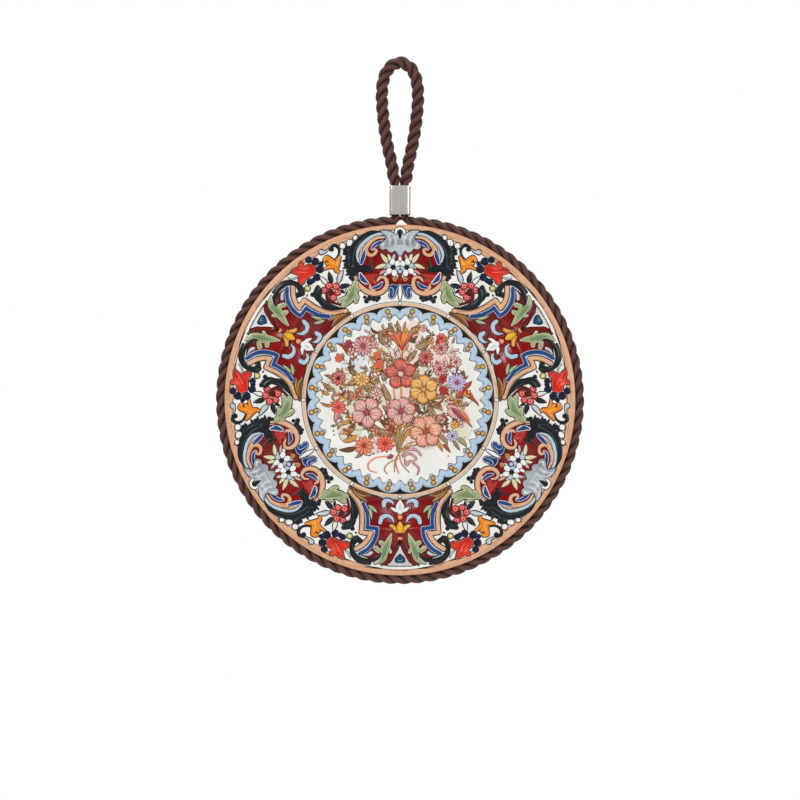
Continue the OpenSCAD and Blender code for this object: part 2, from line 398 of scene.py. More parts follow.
# Agglomerated cork: pressed granules about 1.2 mm across, with dark bark specks
corkFinish, tree, shader, place = addFinish("agglomerated cork", Roughness=0.88)
granule = addNode(tree, "TexVoronoi", values={"Scale": 620.0}, links={"Vector": place})
gap = addNode(tree, "TexVoronoi", {"feature": "DISTANCE_TO_EDGE"}, {"Scale": 620.0}, {"Vector": place})
shade = addNode(tree, "SeparateColor", links={"Color": granule.outputs["Color"]}).outputs["Red"]
corkColour = addNode(tree, "Mix", multiplied, {"Factor": 0.8},
    {"A": addRamp(tree, shade, [(0.05, "#6B4426"), (0.15, "#A87A4A"), (0.6, "#BF9562"), (1.0, "#D3AE7E")]),
    "B": addRamp(tree, gap.outputs["Distance"], [(0.02, "#7A5A3C"), (0.12, "#FFFFFF")])}).outputs["Result"]
tree.links.new(corkColour, shader.inputs["Base Color"])
addBump(tree, shader, gap.outputs["Distance"], 0.0002, 0.5)

# Dried contact adhesive: translucent straw yellow, slightly uneven
glueFinish, tree, shader, place = addFinish("dried contact adhesive", Roughness=0.45)
smear = addNode(tree, "TexNoise", values={"Scale": 180.0, "Detail": 2.0},
    links={"Vector": place}).outputs["Fac"]
tree.links.new(addRamp(tree, smear, [(0.3, "#CDBE8C"), (0.7, "#E2D8B0")]), shader.inputs["Base Color"])
addBump(tree, shader, smear, 0.00008, 0.5)


# Gives a piece one material, in place of any that it has
def finishWith(piece, material):
    for slot in piece.material_slots:
        slot.material = material
    if not piece.material_slots:
        piece.data.materials.append(material)


for piece, material in ((loopRope, cordFinish), (rimRope, cordFinish), (neckRope, cordFinish),
        (ferruleShell, nickel), (frame["nodes"]["pinched_legs"], cordFinish), (frame["nodes"]["face_glaze"],
        glaze), (frame["nodes"]["ceramic_disc"], biscuit), (frame["nodes"]["cork_pad"], corkFinish),
        (frame["nodes"]["pad_adhesive"], glueFinish)):
    finishWith(piece, material)
print("finishes")


# ---- painted enamel: thin raised shapes laid on the glaze in painting order, gathered by colour
enamel = {"first": 0.03, "step": 0.0003, "sunk": -0.03, "crown": 0.0002, "outline": 0.36}
paint = {}
laid = {"count": 0}
# places on the band: the angle of the axis, and -1 for its mirror half
cartouches = [(90 + 120 * k, side) for k in range(3) for side in (1, -1)]
vases = [(270 + 120 * k, side) for k in range(3) for side in (1, -1)]
cartoucheAxes = cartouches[::2]
vaseAxes = vases[::2]
once = [(90, 1)]


# Lays one flat shape on the face at each place: across = side * u, and outwards = v along the axis angle
def lay(colour, plane, height, tone, quads, places, fans=()):
    store = paint.setdefault(colour, {"points": [], "faces": [], "tone": [], "count": 0})
    laid["count"] += 1
    height = np.where(height < 0, enamel["sunk"], height + enamel["first"] + enamel["step"] * laid["count"])
    for angle, side in places:
        c, s = math.cos(math.radians(angle)), math.sin(math.radians(angle))
        u, v = plane[:, 0] * side, plane[:, 1]
        store["points"].append(np.stack([u * s + v * c, faceY - height, plateZ - u * c + v * s], 1))
        store["faces"] += (np.asarray(quads)[:, ::side] + store["count"]).tolist()
        if len(fans):
            store["faces"] += (np.asarray(fans)[:, ::side] + store["count"]).tolist()
        store["tone"].append(tone)
        store["count"] += len(plane)


# A brush stroke: a band that reaches each point's third number to either side of the smooth line, with round
# ends, its edges sunk in the glaze and its middle slightly crowned; tone is 0 in the middle and 1 at the edge
def brush(colour, points, places, grow=0.0, steps=5):
    line = smoothPath(points, steps)
    way = np.gradient(line[:, :2], axis=0)
    way /= np.linalg.norm(way, axis=1, keepdims=True) + 1e-9
    halfWidth = line[:, 2] + grow
    endBend = np.radians([8, 24, 48, 70])
    centres, halves, ways = [line[:, :2]], [halfWidth], [way]
    for end, sign, order in ((0, -1, 1), (-1, 1, -1)):
        bend = endBend[::order]
        centres.insert(0 if end == 0 else 2, line[end, :2] + sign * way[end] * halfWidth[end]
            * np.cos(bend)[:, None])
        halves.insert(0 if end == 0 else 2, halfWidth[end] * np.sin(bend))
        ways.insert(0 if end == 0 else 2, np.repeat(way[[end]], len(bend), 0))
    centres, halves, ways = np.vstack(centres), np.concatenate(halves), np.vstack(ways)
    left = np.stack([-ways[:, 1], ways[:, 0]], 1)
    across = np.array([1, 0.84, 0, -0.84, -1])
    plane = centres[:, None] + left[:, None] * (across[None, :] * halves[:, None])[..., None]
    height = np.tile([-1.0, 0, enamel["crown"], 0, -1.0], (len(centres), 1))
    height[[0, -1]] = -1
    tone = np.tile(np.abs(across), (len(centres), 1))
    lay(colour, plane.reshape(-1, 2), height.ravel(), tone.ravel(), gridFaces(len(centres), 5), places)


# Strokes of one colour over a dark outline; a number in place of widths gives every point that half-width
def strokes(colour, lines, places, half=None, outline="ink", edge=None):
    lines = [[(*p, half) if len(p) == 2 else p for p in line] for line in lines]
    if outline:
        for line in lines:
            brush(outline, line, places, enamel["outline"] if edge is None else edge)
    for line in lines:
        brush(colour, line, places)


# A leaf: one stroke from its foot to its tip, widest a third of the way along, with a bend across its length
def leaf(colour, foot, tip, half, places, bend=0.0, outline="ink", edge=None, vein=None):
    foot, tip = np.array(foot, float), np.array(tip, float)
    across = np.array([foot[1] - tip[1], tip[0] - foot[0]]) * bend
    shares, widths = np.array([0.04, 0.2, 0.42, 0.66, 0.86, 0.99]), np.array([0.3, 0.85, 1.0, 0.78, 0.42,
        0.05])
    line = [(*(foot + (tip - foot) * s + across * 4 * s * (1 - s)), half * w) for s, w in zip(shares, widths)]
    strokes(colour, [line], places, outline=outline, edge=edge)
    if vein:
        brush(vein, [(x, z, 0.1) for x, z, w in line[1:-1]], places, steps=3)


# A closed shape swept in rings towards its own middle, crowned; tone 1 at the edge and 0 in the middle
def blob(colour, outline, places, grow=0.0, steps=4, centre=None):
    edge = smoothPath(outline, steps, closed=True)
    following = np.roll(edge, -1, 0) - np.roll(edge, 1, 0)
    area = np.sum(edge[:, 0] * np.roll(edge[:, 1], -1) - edge[:, 1] * np.roll(edge[:, 0], -1))
    if area < 0:
        edge, following = edge[::-1], -following[::-1]
    out = np.stack([following[:, 1], -following[:, 0]], 1)
    out /= np.linalg.norm(out, axis=1, keepdims=True) + 1e-9
    centre = edge.mean(0) if centre is None else np.array(centre)
    rings = [edge + out * grow, edge + out * (grow - 0.1), centre + (edge - centre) * 0.6,
        centre + (edge - centre) * 0.02]
    count = len(edge)
    plane = np.vstack(rings)
    height = np.repeat([-1.0, 0, enamel["crown"], enamel["crown"]], count)
    tone = np.repeat([1.0, 0.9, 0.4, 0.0], count)
    quads = gridFaces(4, count, closedColumns=True)[:, ::-1]
    spin = np.arange(0, count - 2, 2)
    fan = np.stack([spin * 0, spin + 1, spin + 2, spin + 3], 1) % count + 3 * count
    lay(colour, plane, height, tone, quads, places, fan)


# An ellipse turned by so many degrees, over a dark outline
def spot(colour, x, z, r, places, rz=None, turned=0.0, outline="ink", edge=None):
    a, t = np.linspace(0, 2 * np.pi, 8, endpoint=False), math.radians(turned)
    u, v = r * np.cos(a), (rz or r) * np.sin(a)
    ring = np.stack([x + u * math.cos(t) - v * math.sin(t), z + u * math.sin(t) + v * math.cos(t)], 1)
    if outline:
        blob(outline, ring, places, enamel["outline"] if edge is None else edge, steps=2)
    blob(colour, ring, places, steps=2)


# An ellipse with no outline
def dab(colour, x, z, r, places, rz=None, turned=0.0):
    spot(colour, x, z, r, places, rz, turned, outline=None)


# A flat field of any outline, cut into triangles inside a sunk edge
def field(colour, outline, places, grow=0.0, steps=3, outlined=None):
    if outlined:
        field(outlined, outline, places, grow + enamel["outline"], steps)
    edge = smoothPath(outline, steps, closed=True) if steps > 1 else np.array(outline, float)
    area = np.sum(edge[:, 0] * np.roll(edge[:, 1], -1) - edge[:, 1] * np.roll(edge[:, 0], -1))
    if area < 0:
        edge = edge[::-1]
    following = np.roll(edge, -1, 0) - np.roll(edge, 1, 0)
    out = np.stack([following[:, 1], -following[:, 0]], 1)
    out /= np.linalg.norm(out, axis=1, keepdims=True) + 1e-9
    outer, inner = edge + out * grow, edge + out * (grow - 0.08)
    count = len(edge)
    triangles = np.array(tessellate_polygon([[Vector((*p, 0)) for p in inner]]))
    first, second, third = (inner[triangles[:, k]] for k in range(3))
    turn = (second - first)[:, 0] * (third - first)[:, 1] - (second - first)[:, 1] * (third - first)[:, 0]
    triangles[turn < 0] = triangles[turn < 0][:, ::-1]
    lay(colour, np.vstack([outer, inner]), np.repeat([-1.0, 0], count), np.repeat([1.0, 0.3], count),
        gridFaces(2, count, closedColumns=True)[:, ::-1], places, triangles + count)


# The point at a reach from (x, z), in the direction of an angle
def polar(x, z, reach, angle):
    return x + reach * math.cos(angle), z + reach * math.sin(angle)


# The half outline together with its mirror image across the axis
def wholeOf(half):
    return list(half) + [(-x, z) for x, z in reversed(half) if abs(x) > 1e-6]


# A closed band round the plate between two radii, which may vary with the angle
def band(colour, inner, outer, count=360):
    turn = np.linspace(0, 2 * np.pi, count, endpoint=False)
    inner, outer = (r(turn) if callable(r) else np.full(count, r) for r in (inner, outer))
    radii = np.stack([outer, outer - 0.08, (outer + inner) / 2, inner + 0.08, inner])
    plane = np.stack([radii * np.cos(turn), radii * np.sin(turn)], -1).reshape(-1, 2)
    height = np.repeat([-1.0, 0, enamel["crown"] / 2, 0, -1.0], count)
    tone = np.repeat([1.0, 0.9, 0, 0.9, 1.0], count)
    lay(colour, plane, height, tone, gridFaces(5, count, closedColumns=True)[:, ::-1], once)


# A flower: petals round a middle, each with an outline and fine veins
def flower(x, z, r, petals, colour, middle, places, turned=90, outline="sienna", edge=0.22, wide=0.36,
        veins=None, middleR=0.3):
    for k in range(petals):
        angle = math.radians(turned + 360 * k / petals)
        spot(colour, *polar(x, z, 0.62 * r, angle), r * 0.42, places, r * wide, math.degrees(angle), outline,
            edge)
        for lean in (-0.16, 0.16) if veins else ():
            brush(veins, [(*polar(x, z, share * r, angle + lean), half) for share,
                half in ((0.3, 0.11), (0.62, 0.14), (0.85, 0.07))], places, steps=2)
    spot(middle, x, z, r * middleR, places, outline=outline, edge=edge * 0.8)


# ---- the rim band and the medallion's rings (mm from the plate's centre)
arris = 0.4   # the rounded edge of the glaze, which the paint runs over
# the peach rim is narrower where a cartouche or a vase reaches out to it
rimInner = lambda t: 77.3 - 0.75 * np.cos(6 * t)
band("peach", rimInner, 80.15)
wrap = np.radians(np.linspace(0, 90, 7))
wrapR = np.concatenate([[80.0], discRadius - arris + (arris + enamel["first"]) * np.sin(wrap),
    [discRadius + enamel["first"]]])
wrapY = np.concatenate([[faceY - enamel["first"]], faceY + arris - (arris + enamel["first"]) * np.cos(wrap),
    [faceY + 0.5]])
turn = np.linspace(0, 2 * np.pi, 360, endpoint=False)
wrapPoints = np.stack([wrapR[:, None] * np.cos(turn), np.repeat(wrapY[:, None], len(turn), 1),
    plateZ + wrapR[:, None] * np.sin(turn)], -1)
paint["peach"]["faces"] += (gridFaces(len(wrapR), len(turn), closedColumns=True)
    + paint["peach"]["count"]).tolist()
paint["peach"]["points"].append(wrapPoints.reshape(-1, 3))
paint["peach"]["tone"].append(np.full(wrapPoints.size // 3, 0.5))
paint["peach"]["count"] += wrapPoints.size // 3
band("ink", lambda t: rimInner(t) - 0.2, lambda t: rimInner(t) + 0.08)
band("ink", lambda t: 78.25 + 0.1 * np.sin(17 * t), lambda t: 78.52 + 0.1 * np.sin(17 * t) + 0.09
    * np.sin(31 * t))
band("umber", 79.0, lambda t: 79.2 + 0.06 * np.sin(23 * t))
for k in range(36):
    angle = math.radians(10 * k + 4 * math.sin(7 * k))
    spread = math.radians(1.4 + 0.8 * math.sin(5 * k + 1))
    radius = rimInner(angle) + 0.45
    brush("umber", [(*polar(0, 0, radius, angle + d * spread), w) for d, w in ((-1, 0.08), (0, 0.2),
        (1, 0.08))], once, steps=3)
for side in (-1, 1):
    for start, end, radius, width in ((5.5, 12.0, 77.9, 0.42), (17.0, 22.5, 77.4, 0.36),
            (24.5, 27.5, 78.3, 0.28)):
        arc = np.radians(np.linspace(start, end, 6))
        brush("umber" if radius > 78 else "ink", [(side * radius * math.sin(a), radius * math.cos(a), w)
            for a, w in zip(arc, (0.08, width * 0.7, width, width, width * 0.6, 0.08))], vaseAxes, steps=3)

# pale blue wave: arcs that leave dark points against the ring, and a cusped inner edge
outerWave = lambda t: 40.3 + 2.6 * np.abs(np.sin(12 * t)) ** 0.55
innerWave = lambda t: 38.0 - 1.1 * np.cos(48 * t)
band("ink", 39.4, 43.6)
band("ink", lambda t: innerWave(t) - 0.3, lambda t: outerWave(t) + 0.32, 720)
band("paleBlue", innerWave, outerWave, 720)
band("lilacBlue", lambda t: innerWave(t) + 0.9, lambda t: innerWave(t) + 1.7, 720)
band("ink", 43.0, 45.4)
band("white", 43.22, 45.18)
band("tan", 43.22, 44.8)
band("ink", 43.96, 44.1)
band("umber", 44.8, 44.9)
for k in range(24):
    for radius, size, shift in ((41.0, 1.12, 0.5), (38.95, 0.98, -0.4)):
        angle = math.radians(15 * k + 7.5 + shift * (-1) ** k)
        spot("gold", *polar(0, 0, radius, angle), size, once, edge=0.3)
        dab("straw" if k % 3 else "cream", *polar(0, 0, radius, angle), size * 0.46, once)
        dab("umber", *polar(0, 0, radius, angle + 0.004), size * 0.2, once)
for k in range(12):
    angle = math.radians(30 * k)
    spot("white", *polar(0, 0, 44.3, angle), 0.7, once, 0.7 if k % 2 else 1.0, 30 * k + 90, edge=0.24)


# An acanthus: lobed strokes edged in cream, sage inside, with a deeper green shadow and a rib
def acanthus(lines, shadow, places):
    for colour, grow in (("ink", 0.34), ("cream", 0.0), ("sage", -0.32)):
        for line in lines:
            brush(colour, line, places, grow)
    brush("leafGreen", shadow, places)


# ---- the cartouche: a crimson field in black and peach scrolls (across, outwards, half-width)
field("crimson", wholeOf([(0, 76.6), (4.5, 76.8), (10, 76.4), (15, 73.5), (18.5, 69), (19.5, 64.5),
    (19.5, 60.5), (19.6, 57.2), (17.4, 55.6), (13, 56.6), (10.2, 56.2), (8.3, 57.6), (5.6, 56.5), (4.6, 53.6),
    (0, 53.4)]), cartoucheAxes, outlined="ink")
# black acanthus bracket
brush("black", [(9.5, 77.5, 0.3), (13.5, 76.9, 1), (17, 74.8, 1.5), (20, 71.8, 1.9), (22, 67.8, 2.3),
    (22.2, 64, 2.5), (21.8, 60.5, 2.3), (21.5, 57.5, 1.5), (21.8, 55.3, 0.9)], cartouches)
brush("black", [(20.5, 60.6, 2), (17, 60.3, 2.2), (14, 60.2, 1.6)], cartouches)
brush("black", [(13.7, 61, 1), (13.4, 63.2, 0.5), (12.9, 65.6, 0.1)], cartouches)
for x, z, r in ((25, 68.4, 1.4), (24.7, 62.2, 1.3), (23.6, 59.4, 1.3), (22.6, 56.3, 1.1), (24, 65.4, 1.3),
        (13, 58.9, 0.9)):
    dab("black", x, z, r, cartouches)
for foot, tip in (((23.6, 66.8), (26.8, 67.2)), ((23.9, 64), (27, 63.8)), ((23.7, 61.2), (26.6, 60.5)),
        ((22.6, 58.2), (25.4, 57.3)), ((21.4, 72), (23.9, 73.6)), ((18.8, 74.2), (20.8, 76.4)),
        ((22.9, 69.6), (25.8, 70.8))):
    leaf("black", foot, tip, 0.75, cartouches, outline=None)
brush("graphite", [(15.5, 75, 0.1), (18.6, 72.2, 0.22), (20.8, 68.6, 0.22), (21.6, 64.6, 0.2),
    (21.2, 60.8, 0.1)], cartouches)
brush("graphite", [(23.2, 68.6, 0.08), (23.7, 65, 0.16), (22.9, 61.4, 0.08)], cartouches)
# its inner stripes, from the black bracket inwards
strokes("paleBlue", [[(7.4, 76.3, 0.5), (10.1, 76.1, 0.8), (13.4, 74.7, 0.9), (15.8, 72.9, 0.85),
    (17.8, 70.9, 0.8), (19.2, 68.6, 0.75), (19.7, 66.2, 0.65), (19.1, 63.6, 0.5)]], cartouches)
strokes("peach", [[(16.2, 71.2, 0.3), (17.5, 69, 0.45), (18.3, 66.6, 0.45), (18.3, 64.3, 0.2)]], cartouches,
    edge=0.2)
strokes("peach", [[(7.3, 74.8, 0.6), (10.8, 74.4, 0.8), (13.4, 72.7, 0.95), (15.2, 70.5, 1.15),
    (15.9, 68.9, 1.3), (15.1, 67.4, 1.1), (13.5, 66.5, 0.9), (11.8, 67, 0.8), (10.9, 68.3, 0.75),
    (11.5, 69.3, 0.6), (12.5, 69, 0.5)]], cartouches)
brush("ochre", [(14.2, 71.2, 0.3), (15.5, 69.4, 0.6), (15.2, 67.9, 0.5), (13.6, 67.1, 0.3)], cartouches)
strokes("cobalt", [[(6.1, 72.8, 0.4), (8, 72.7, 0.65), (10.3, 72, 0.75), (12.2, 70.7, 0.6),
    (12.9, 69.4, 0.3)]], cartouches, edge=0.35, outline="lavender")
strokes("cobalt", [[(16.2, 68.4, 0.5), (16.9, 65.9, 1), (17.8, 63, 0.7)]], cartouches, edge=0.35,
    outline="lavender")
# silver crest across the axis
field("silver", wholeOf([(0, 76.6), (1.8, 77.4), (3.2, 76.9), (5.2, 77.9), (9, 77.9), (7.3, 76), (6.5, 74.2),
    (8, 72.9), (9.7, 71.3), (9.2, 69.7), (7.7, 69), (6.3, 69.5), (5.3, 68.1), (3.6, 67.7), (2.3, 68.7),
    (1.3, 67.1), (0, 65.9)]), cartoucheAxes, outlined="ink")
for colour, x, z, half in (("paleSilver", 4.6, 73.8, 0.4), ("paleSilver", 1.8, 72.8, 0.4),
        ("graphite", 3.2, 73.2, 0.09), ("graphite", 5.8, 73, 0.08)):
    brush(colour, [(x + 1, z + 2.7, 0.1), (x, z, half), (x + 0.5, z - 2.6, 0.1)], cartouches)
brush("white", [(6.9, 72.4, 0.1), (8.2, 71.1, 0.4), (7.3, 70.2, 0.1)], cartouches)
# arch and drop at the rim
strokes("white", [[(-2, 76.8, 0.55), (-1.5, 78.3, 0.65), (0, 78.9, 0.65), (1.5, 78.3, 0.65),
    (2, 76.8, 0.55)]], cartoucheAxes)
brush("black", [(0, 77.2, 1.3), (0, 75.6, 1), (0, 73.8, 0.2)], cartoucheAxes)
# daisies, leaves and buds on the crimson
for foot, tip, half, colour in (((5.2, 59.2), (7.6, 56.9), 0.9, "white"), ((1.6, 58.2), (1.2, 55.6), 0.8,
        "silver"), ((5.6, 61.2), (9, 61.2), 0.85, "white"), ((3.4, 64), (2.4, 67), 0.8, "silver")):
    leaf(colour, foot, tip, half, cartouches, outline="ink")
for k in range(6):
    angle = math.radians(60 * k + 20)
    spot("white" if k % 3 else "paleBlue", *polar(3.1, 61, 2.7, angle), 1.7, cartouches, 1.35,
        math.degrees(angle), outline="ink", edge=0.2)
dab("black", 3.1, 61, 1.3, cartouches)
spot("lilac", 0, 59, 1, cartoucheAxes)
leaf("cream", (5.6, 63), (8.9, 67.4), 1.15, cartouches, outline="ink", vein="celadon")
leaf("cream", (6.6, 62.3), (11.4, 60.4), 1.05, cartouches, outline="ink", vein="celadon")
leaf("rosePink", (6.4, 59.8), (9.5, 57.6), 0.75, cartouches, outline="ink")
leaf("cream", (4.9, 63.9), (5.7, 67.2), 0.8, cartouches, bend=0.1, outline="ink")
leaf("white", (0, 63.6), (0, 66.4), 0.8, cartoucheAxes, outline="ink")
spot("gold", 2.4, 55.5, 1.15, cartouches)
dab("scarlet", 2.4, 55.5, 0.5, cartouches)
# white ground and cobalt fleur below, with the white drop on the axis
fleur = [(0.9, 51.9), (2.4, 53), (4.6, 52.6), (6.6, 51.2), (5.2, 50.7), (4.6, 49.4), (5, 48), (4.2, 46.8),
    (2.8, 47.4), (2, 49.2), (1.7, 50.6)]
field("ink", fleur, cartouches, 0.6)
field("cobalt", fleur, cartouches, outlined="lavender")
brush("paleBlue", [(5.6, 51.4, 0.08), (3.6, 51.5, 0.2), (3, 49.6, 0.16), (3.6, 47.7, 0.08)], cartouches)
strokes("white", [[(0, 53.2, 0.15), (0, 50.6, 0.8), (0, 48.6, 0.9), (0, 46.4, 0.5)]], cartoucheAxes)
# crimson inside the lower peach scroll, and then the scroll
field("crimson", [(6.9, 55.4), (6.3, 53.4), (7.3, 51.4), (9.2, 50.2), (12.1, 49.8), (15, 50.8), (17.4, 52.8),
    (18.9, 55), (19.6, 57.2), (17.4, 57.6), (13, 57.4), (9.8, 57.2)], cartouches)
brush("scarlet", [(10.6, 57.4, 0.6), (12.6, 56.9, 1.2), (14.8, 56.6, 1.2), (16.4, 56.9, 0.6)], cartouches)
brush("scarlet", [(11, 54.6, 0.4), (12.8, 54.9, 0.9), (14.6, 55, 0.5)], cartouches)
strokes("peach", [[(10.3, 54.8, 0.5), (9, 56.3, 0.7), (7.1, 56.2, 0.85), (6, 53.8, 1), (6.8, 51.1, 1.1),
    (8.9, 49.4, 1.2), (12, 48.9, 1.25), (15.2, 49.9, 1.3), (18, 52, 1.2), (19.7, 54.1, 0.9),
    (20.7, 56.4, 0.5)]], cartouches)
strokes("peach", [[(12, 50.2, 0.8), (13.6, 51.6, 0.8), (13.7, 53.3, 0.3)]], cartouches, outline=None)
strokes("cobalt", [[(8.2, 54, 0.3), (9.9, 52.2, 0.85), (12.4, 51.4, 0.5)]], cartouches, edge=0.3,
    outline="lavender")
strokes("cobalt", [[(18.2, 57.9, 0.5), (17.2, 55.6, 1.2), (15.1, 53.9, 0.5)]], cartouches, edge=0.35,
    outline="white")
brush("paleBlue", [(18.9, 56.4, 0.12), (17.6, 54.2, 0.18), (15.6, 52.8, 0.1)], cartouches)
for x, z, r in ((9.9, 47, 1.2), (12, 46.6, 1.35), (14.1, 46.7, 1.3), (15.4, 45.4, 1.15), (10.6, 45.8, 0.9),
        (16.2, 47.2, 0.9)):
    dab("black", x, z, r, cartouches)

# ---- the flower corner between cartouche and vase, on the white ground
for x, z, r, rz in ((20.6, 74.6, 1, 1.2), (23.2, 72.2, 1.3, 1.7), (26.4, 70.8, 1.35, 1.4)):
    spot("white", x, z, r, cartouches, rz, 30)
strokes("black", [[(32, 70, 0.9), (30.3, 71.1, 0.9), (28.5, 70.2, 0.85), (27.9, 68.3, 0.7), (28.5, 66.4, 0.5),
    (30.1, 64.6, 0.2)]], cartouches, outline=None)
dab("black", 31.5, 69.3, 1.25, cartouches)
strokes("silver", [[(32.9, 69.2, 0.2), (34.4, 68, 0.5), (35.9, 67.9, 1.3)]], cartouches)
# orange fleur from five lobes
lobes = [[(27.6, 65.6, 0.6), (28.6, 63.4, 1.2), (29.4, 61, 1.4)], [(29.4, 62.4, 1.3), (31.6, 64.1, 1.2),
    (33.6, 65.6, 0.9), (34.6, 64.2, 0.9)], [(30, 61.4, 1.2), (32.6, 61, 0.8), (34.9, 59.9, 0.4)],
    [(29.2, 61.6, 1.2), (29.2, 59.6, 1), (28.4, 58.9, 0.8)], [(29.6, 61.6, 1.2), (31.2, 62.6, 1.2),
    (33.2, 62.6, 0.9)]]
strokes("orange", lobes, cartouches)
brush("amber", [(28.4, 64.4, 0.15), (29.4, 62.2, 0.35), (32, 63.6, 0.3), (33.6, 64.4, 0.12)], cartouches)
# red tulip over navy petals
for x, z, r in ((38.9, 63.6, 1.95), (42, 64.4, 1.7), (36.8, 60.2, 2.05), (38.2, 56.4, 1.85),
        (41.4, 54.3, 1.6), (36.2, 62.6, 1.2), (40, 54.9, 1.3)):
    dab("navy", x, z, r, cartouches)
tulip = [(39, 60.6), (39.7, 62), (42.1, 62.2), (44.2, 61.5), (44.6, 62.9), (45.6, 63.6), (46.5, 62.5),
    (46.3, 61.1), (48.6, 60.4), (50.3, 58.7), (47.9, 57.8), (46.7, 57.1), (46.7, 55.4), (46.5, 54),
    (45.1, 53.1), (43.9, 53.8), (43.5, 55.2), (41.6, 56.6), (39.7, 57.8), (38.8, 59.2)]
field("coral", tulip, cartouches, 0.1, outlined="ink")
field("tulipRed", tulip, cartouches, -0.25)
brush("coral", [(42, 58.6, 0.1), (45, 58.6, 0.25), (48.4, 58.9, 0.1)], cartouches)
brush("coral", [(41.8, 60.4, 0.1), (44.2, 60.2, 0.22), (46.4, 60.6, 0.1)], cartouches)
# leaves round the rosette
leaf("black", (31.3, 53.4), (32.8, 59.2), 1.35, cartouches, outline=None, vein="graphite")
leaf("silver", (28.3, 53.6), (26, 59.6), 1.15, cartouches, bend=-0.06, vein="white")
leaf("white", (33.4, 53.1), (36.7, 56.6), 1, cartouches, vein="silver")
leaf("black", (28.2, 51.6), (22.9, 53.2), 1.3, cartouches, outline=None, vein="graphite")
leaf("black", (27.6, 50.6), (24.9, 48.9), 0.8, cartouches, outline=None)
# rosette with its crescent tail
for x, z, r in ((29.4, 52.2, 1.65), (32.7, 52.5, 1.6), (35, 50.4, 1.5), (28.6, 49.4, 1.5),
        (30.6, 47.1, 1.65)):
    spot("rosette", x, z, r, cartouches, outline="maroon", edge=0.25)
    dab("shell", x, z, r * 0.62, cartouches)
    dab("rosette", x, z, r * 0.4, cartouches)
dab("maroon", 32, 49.4, 1.8, cartouches)
brush("maroon", [(33.6, 48.8, 0.9), (32.9, 46, 0.95), (29.4, 44.3, 0.65), (26.3, 43.1, 0.2)], cartouches)
brush("black", [(37.8, 51.6, 1.25), (38.3, 48.6, 1.7), (36.3, 45.8, 1.6), (32.3, 43.4, 1.1), (26.8, 42, 0.4)],
    cartouches)
dab("black", 40.2, 48.4, 1.1, cartouches)
brush("graphite", [(38, 50.8, 0.1), (37.6, 47.6, 0.25), (34.4, 44.8, 0.2), (30.2, 43, 0.08)], cartouches)
spot("straw", 42.5, 51.3, 1.3, cartouches, edge=0.35)
dab("cream", 42.5, 51.3, 0.65, cartouches)
# black hook with its ball
brush("black", [(58.2, 49.6, 0.7), (55.2, 52.6, 1.2), (52.6, 53.8, 1.35), (49.8, 53.8, 1.3),
    (47.4, 52.9, 1.2), (46, 50.6, 1.1), (46, 48.7, 1.1)], cartouches)
dab("black", 47.1, 48.2, 1.4, cartouches)
strokes("silver", [[(47.6, 56.2, 0.25), (49.4, 55.6, 0.4), (51.2, 55.9, 0.25)]], cartouches, edge=0.2)
# sage acanthus beside the medallion's ring
acanthus([[(20.4, 53.8, 1.2), (21, 51.2, 2), (22, 48.6, 2.5), (23.8, 45.9, 2.1), (25.9, 43.6, 1.2)],
    [(23.4, 47.2, 1.4), (25.6, 46.3, 1.3), (27.4, 45.5, 1.2)], [(21.2, 49.6, 1.3), (20, 47.4, 1.2),
    (20.3, 45.4, 1)], [(20.9, 52.2, 1.1), (19.3, 51, 0.9)], [(22.4, 51.4, 1.1), (24, 50.5, 0.9)]],
    [(21.4, 51.8, 0.4), (22.3, 48.4, 1.2), (24.4, 45.4, 0.5)], cartouches)

# ---- the vase: a crimson field in blue and peach frames
field("crimson", wholeOf([(0, 46), (7.5, 45.4), (14.5, 43.4), (17.4, 46.2), (15.9, 50.4), (15.6, 57.6),
    (10.6, 58.6), (10.4, 61.2), (12, 65.1), (15, 68.4), (18.6, 70.6), (14.5, 72.4), (11, 72.9), (9, 75.2),
    (5.6, 76), (0, 76.2)]), vaseAxes, outlined="ink")
strokes("peach", [[(22.9, 42.1), (20.3, 45.2), (18.4, 48.4), (17.6, 51.9), (17.4, 56.2), (17.7, 60.2)],
    [(17.7, 60.8), (13.6, 61.4)], [(13.4, 61.2), (14.6, 63.8), (16.8, 66.3), (20, 68.4)]], vases, 1.1)
brush("umber", [(22.6, 42.8, 0.1), (19.8, 46.8, 0.12), (18.1, 51.6, 0.12), (17.9, 57.6, 0.1)], vases)
strokes("cobalt", [[(16.8, 47.6), (15.4, 51.2), (14.9, 55.1), (15, 58.2)], [(15, 58.5), (10.7, 59.1)],
    [(10.6, 59.1), (10.8, 61.7), (12.1, 65.1), (14.7, 68.3), (18.4, 70.5)]], vases, 1, outline="lavender",
    edge=0.26)
brush("skyBlue", [(16, 51.6, 0.1), (15.6, 55.2, 0.16), (15.7, 57.6, 0.1)], vases)
brush("skyBlue", [(11.8, 61.8, 0.1), (13, 64.8, 0.16), (15.6, 67.8, 0.1)], vases)
dab("maroon", 20.2, 61, 0.7, vases, 0.4)
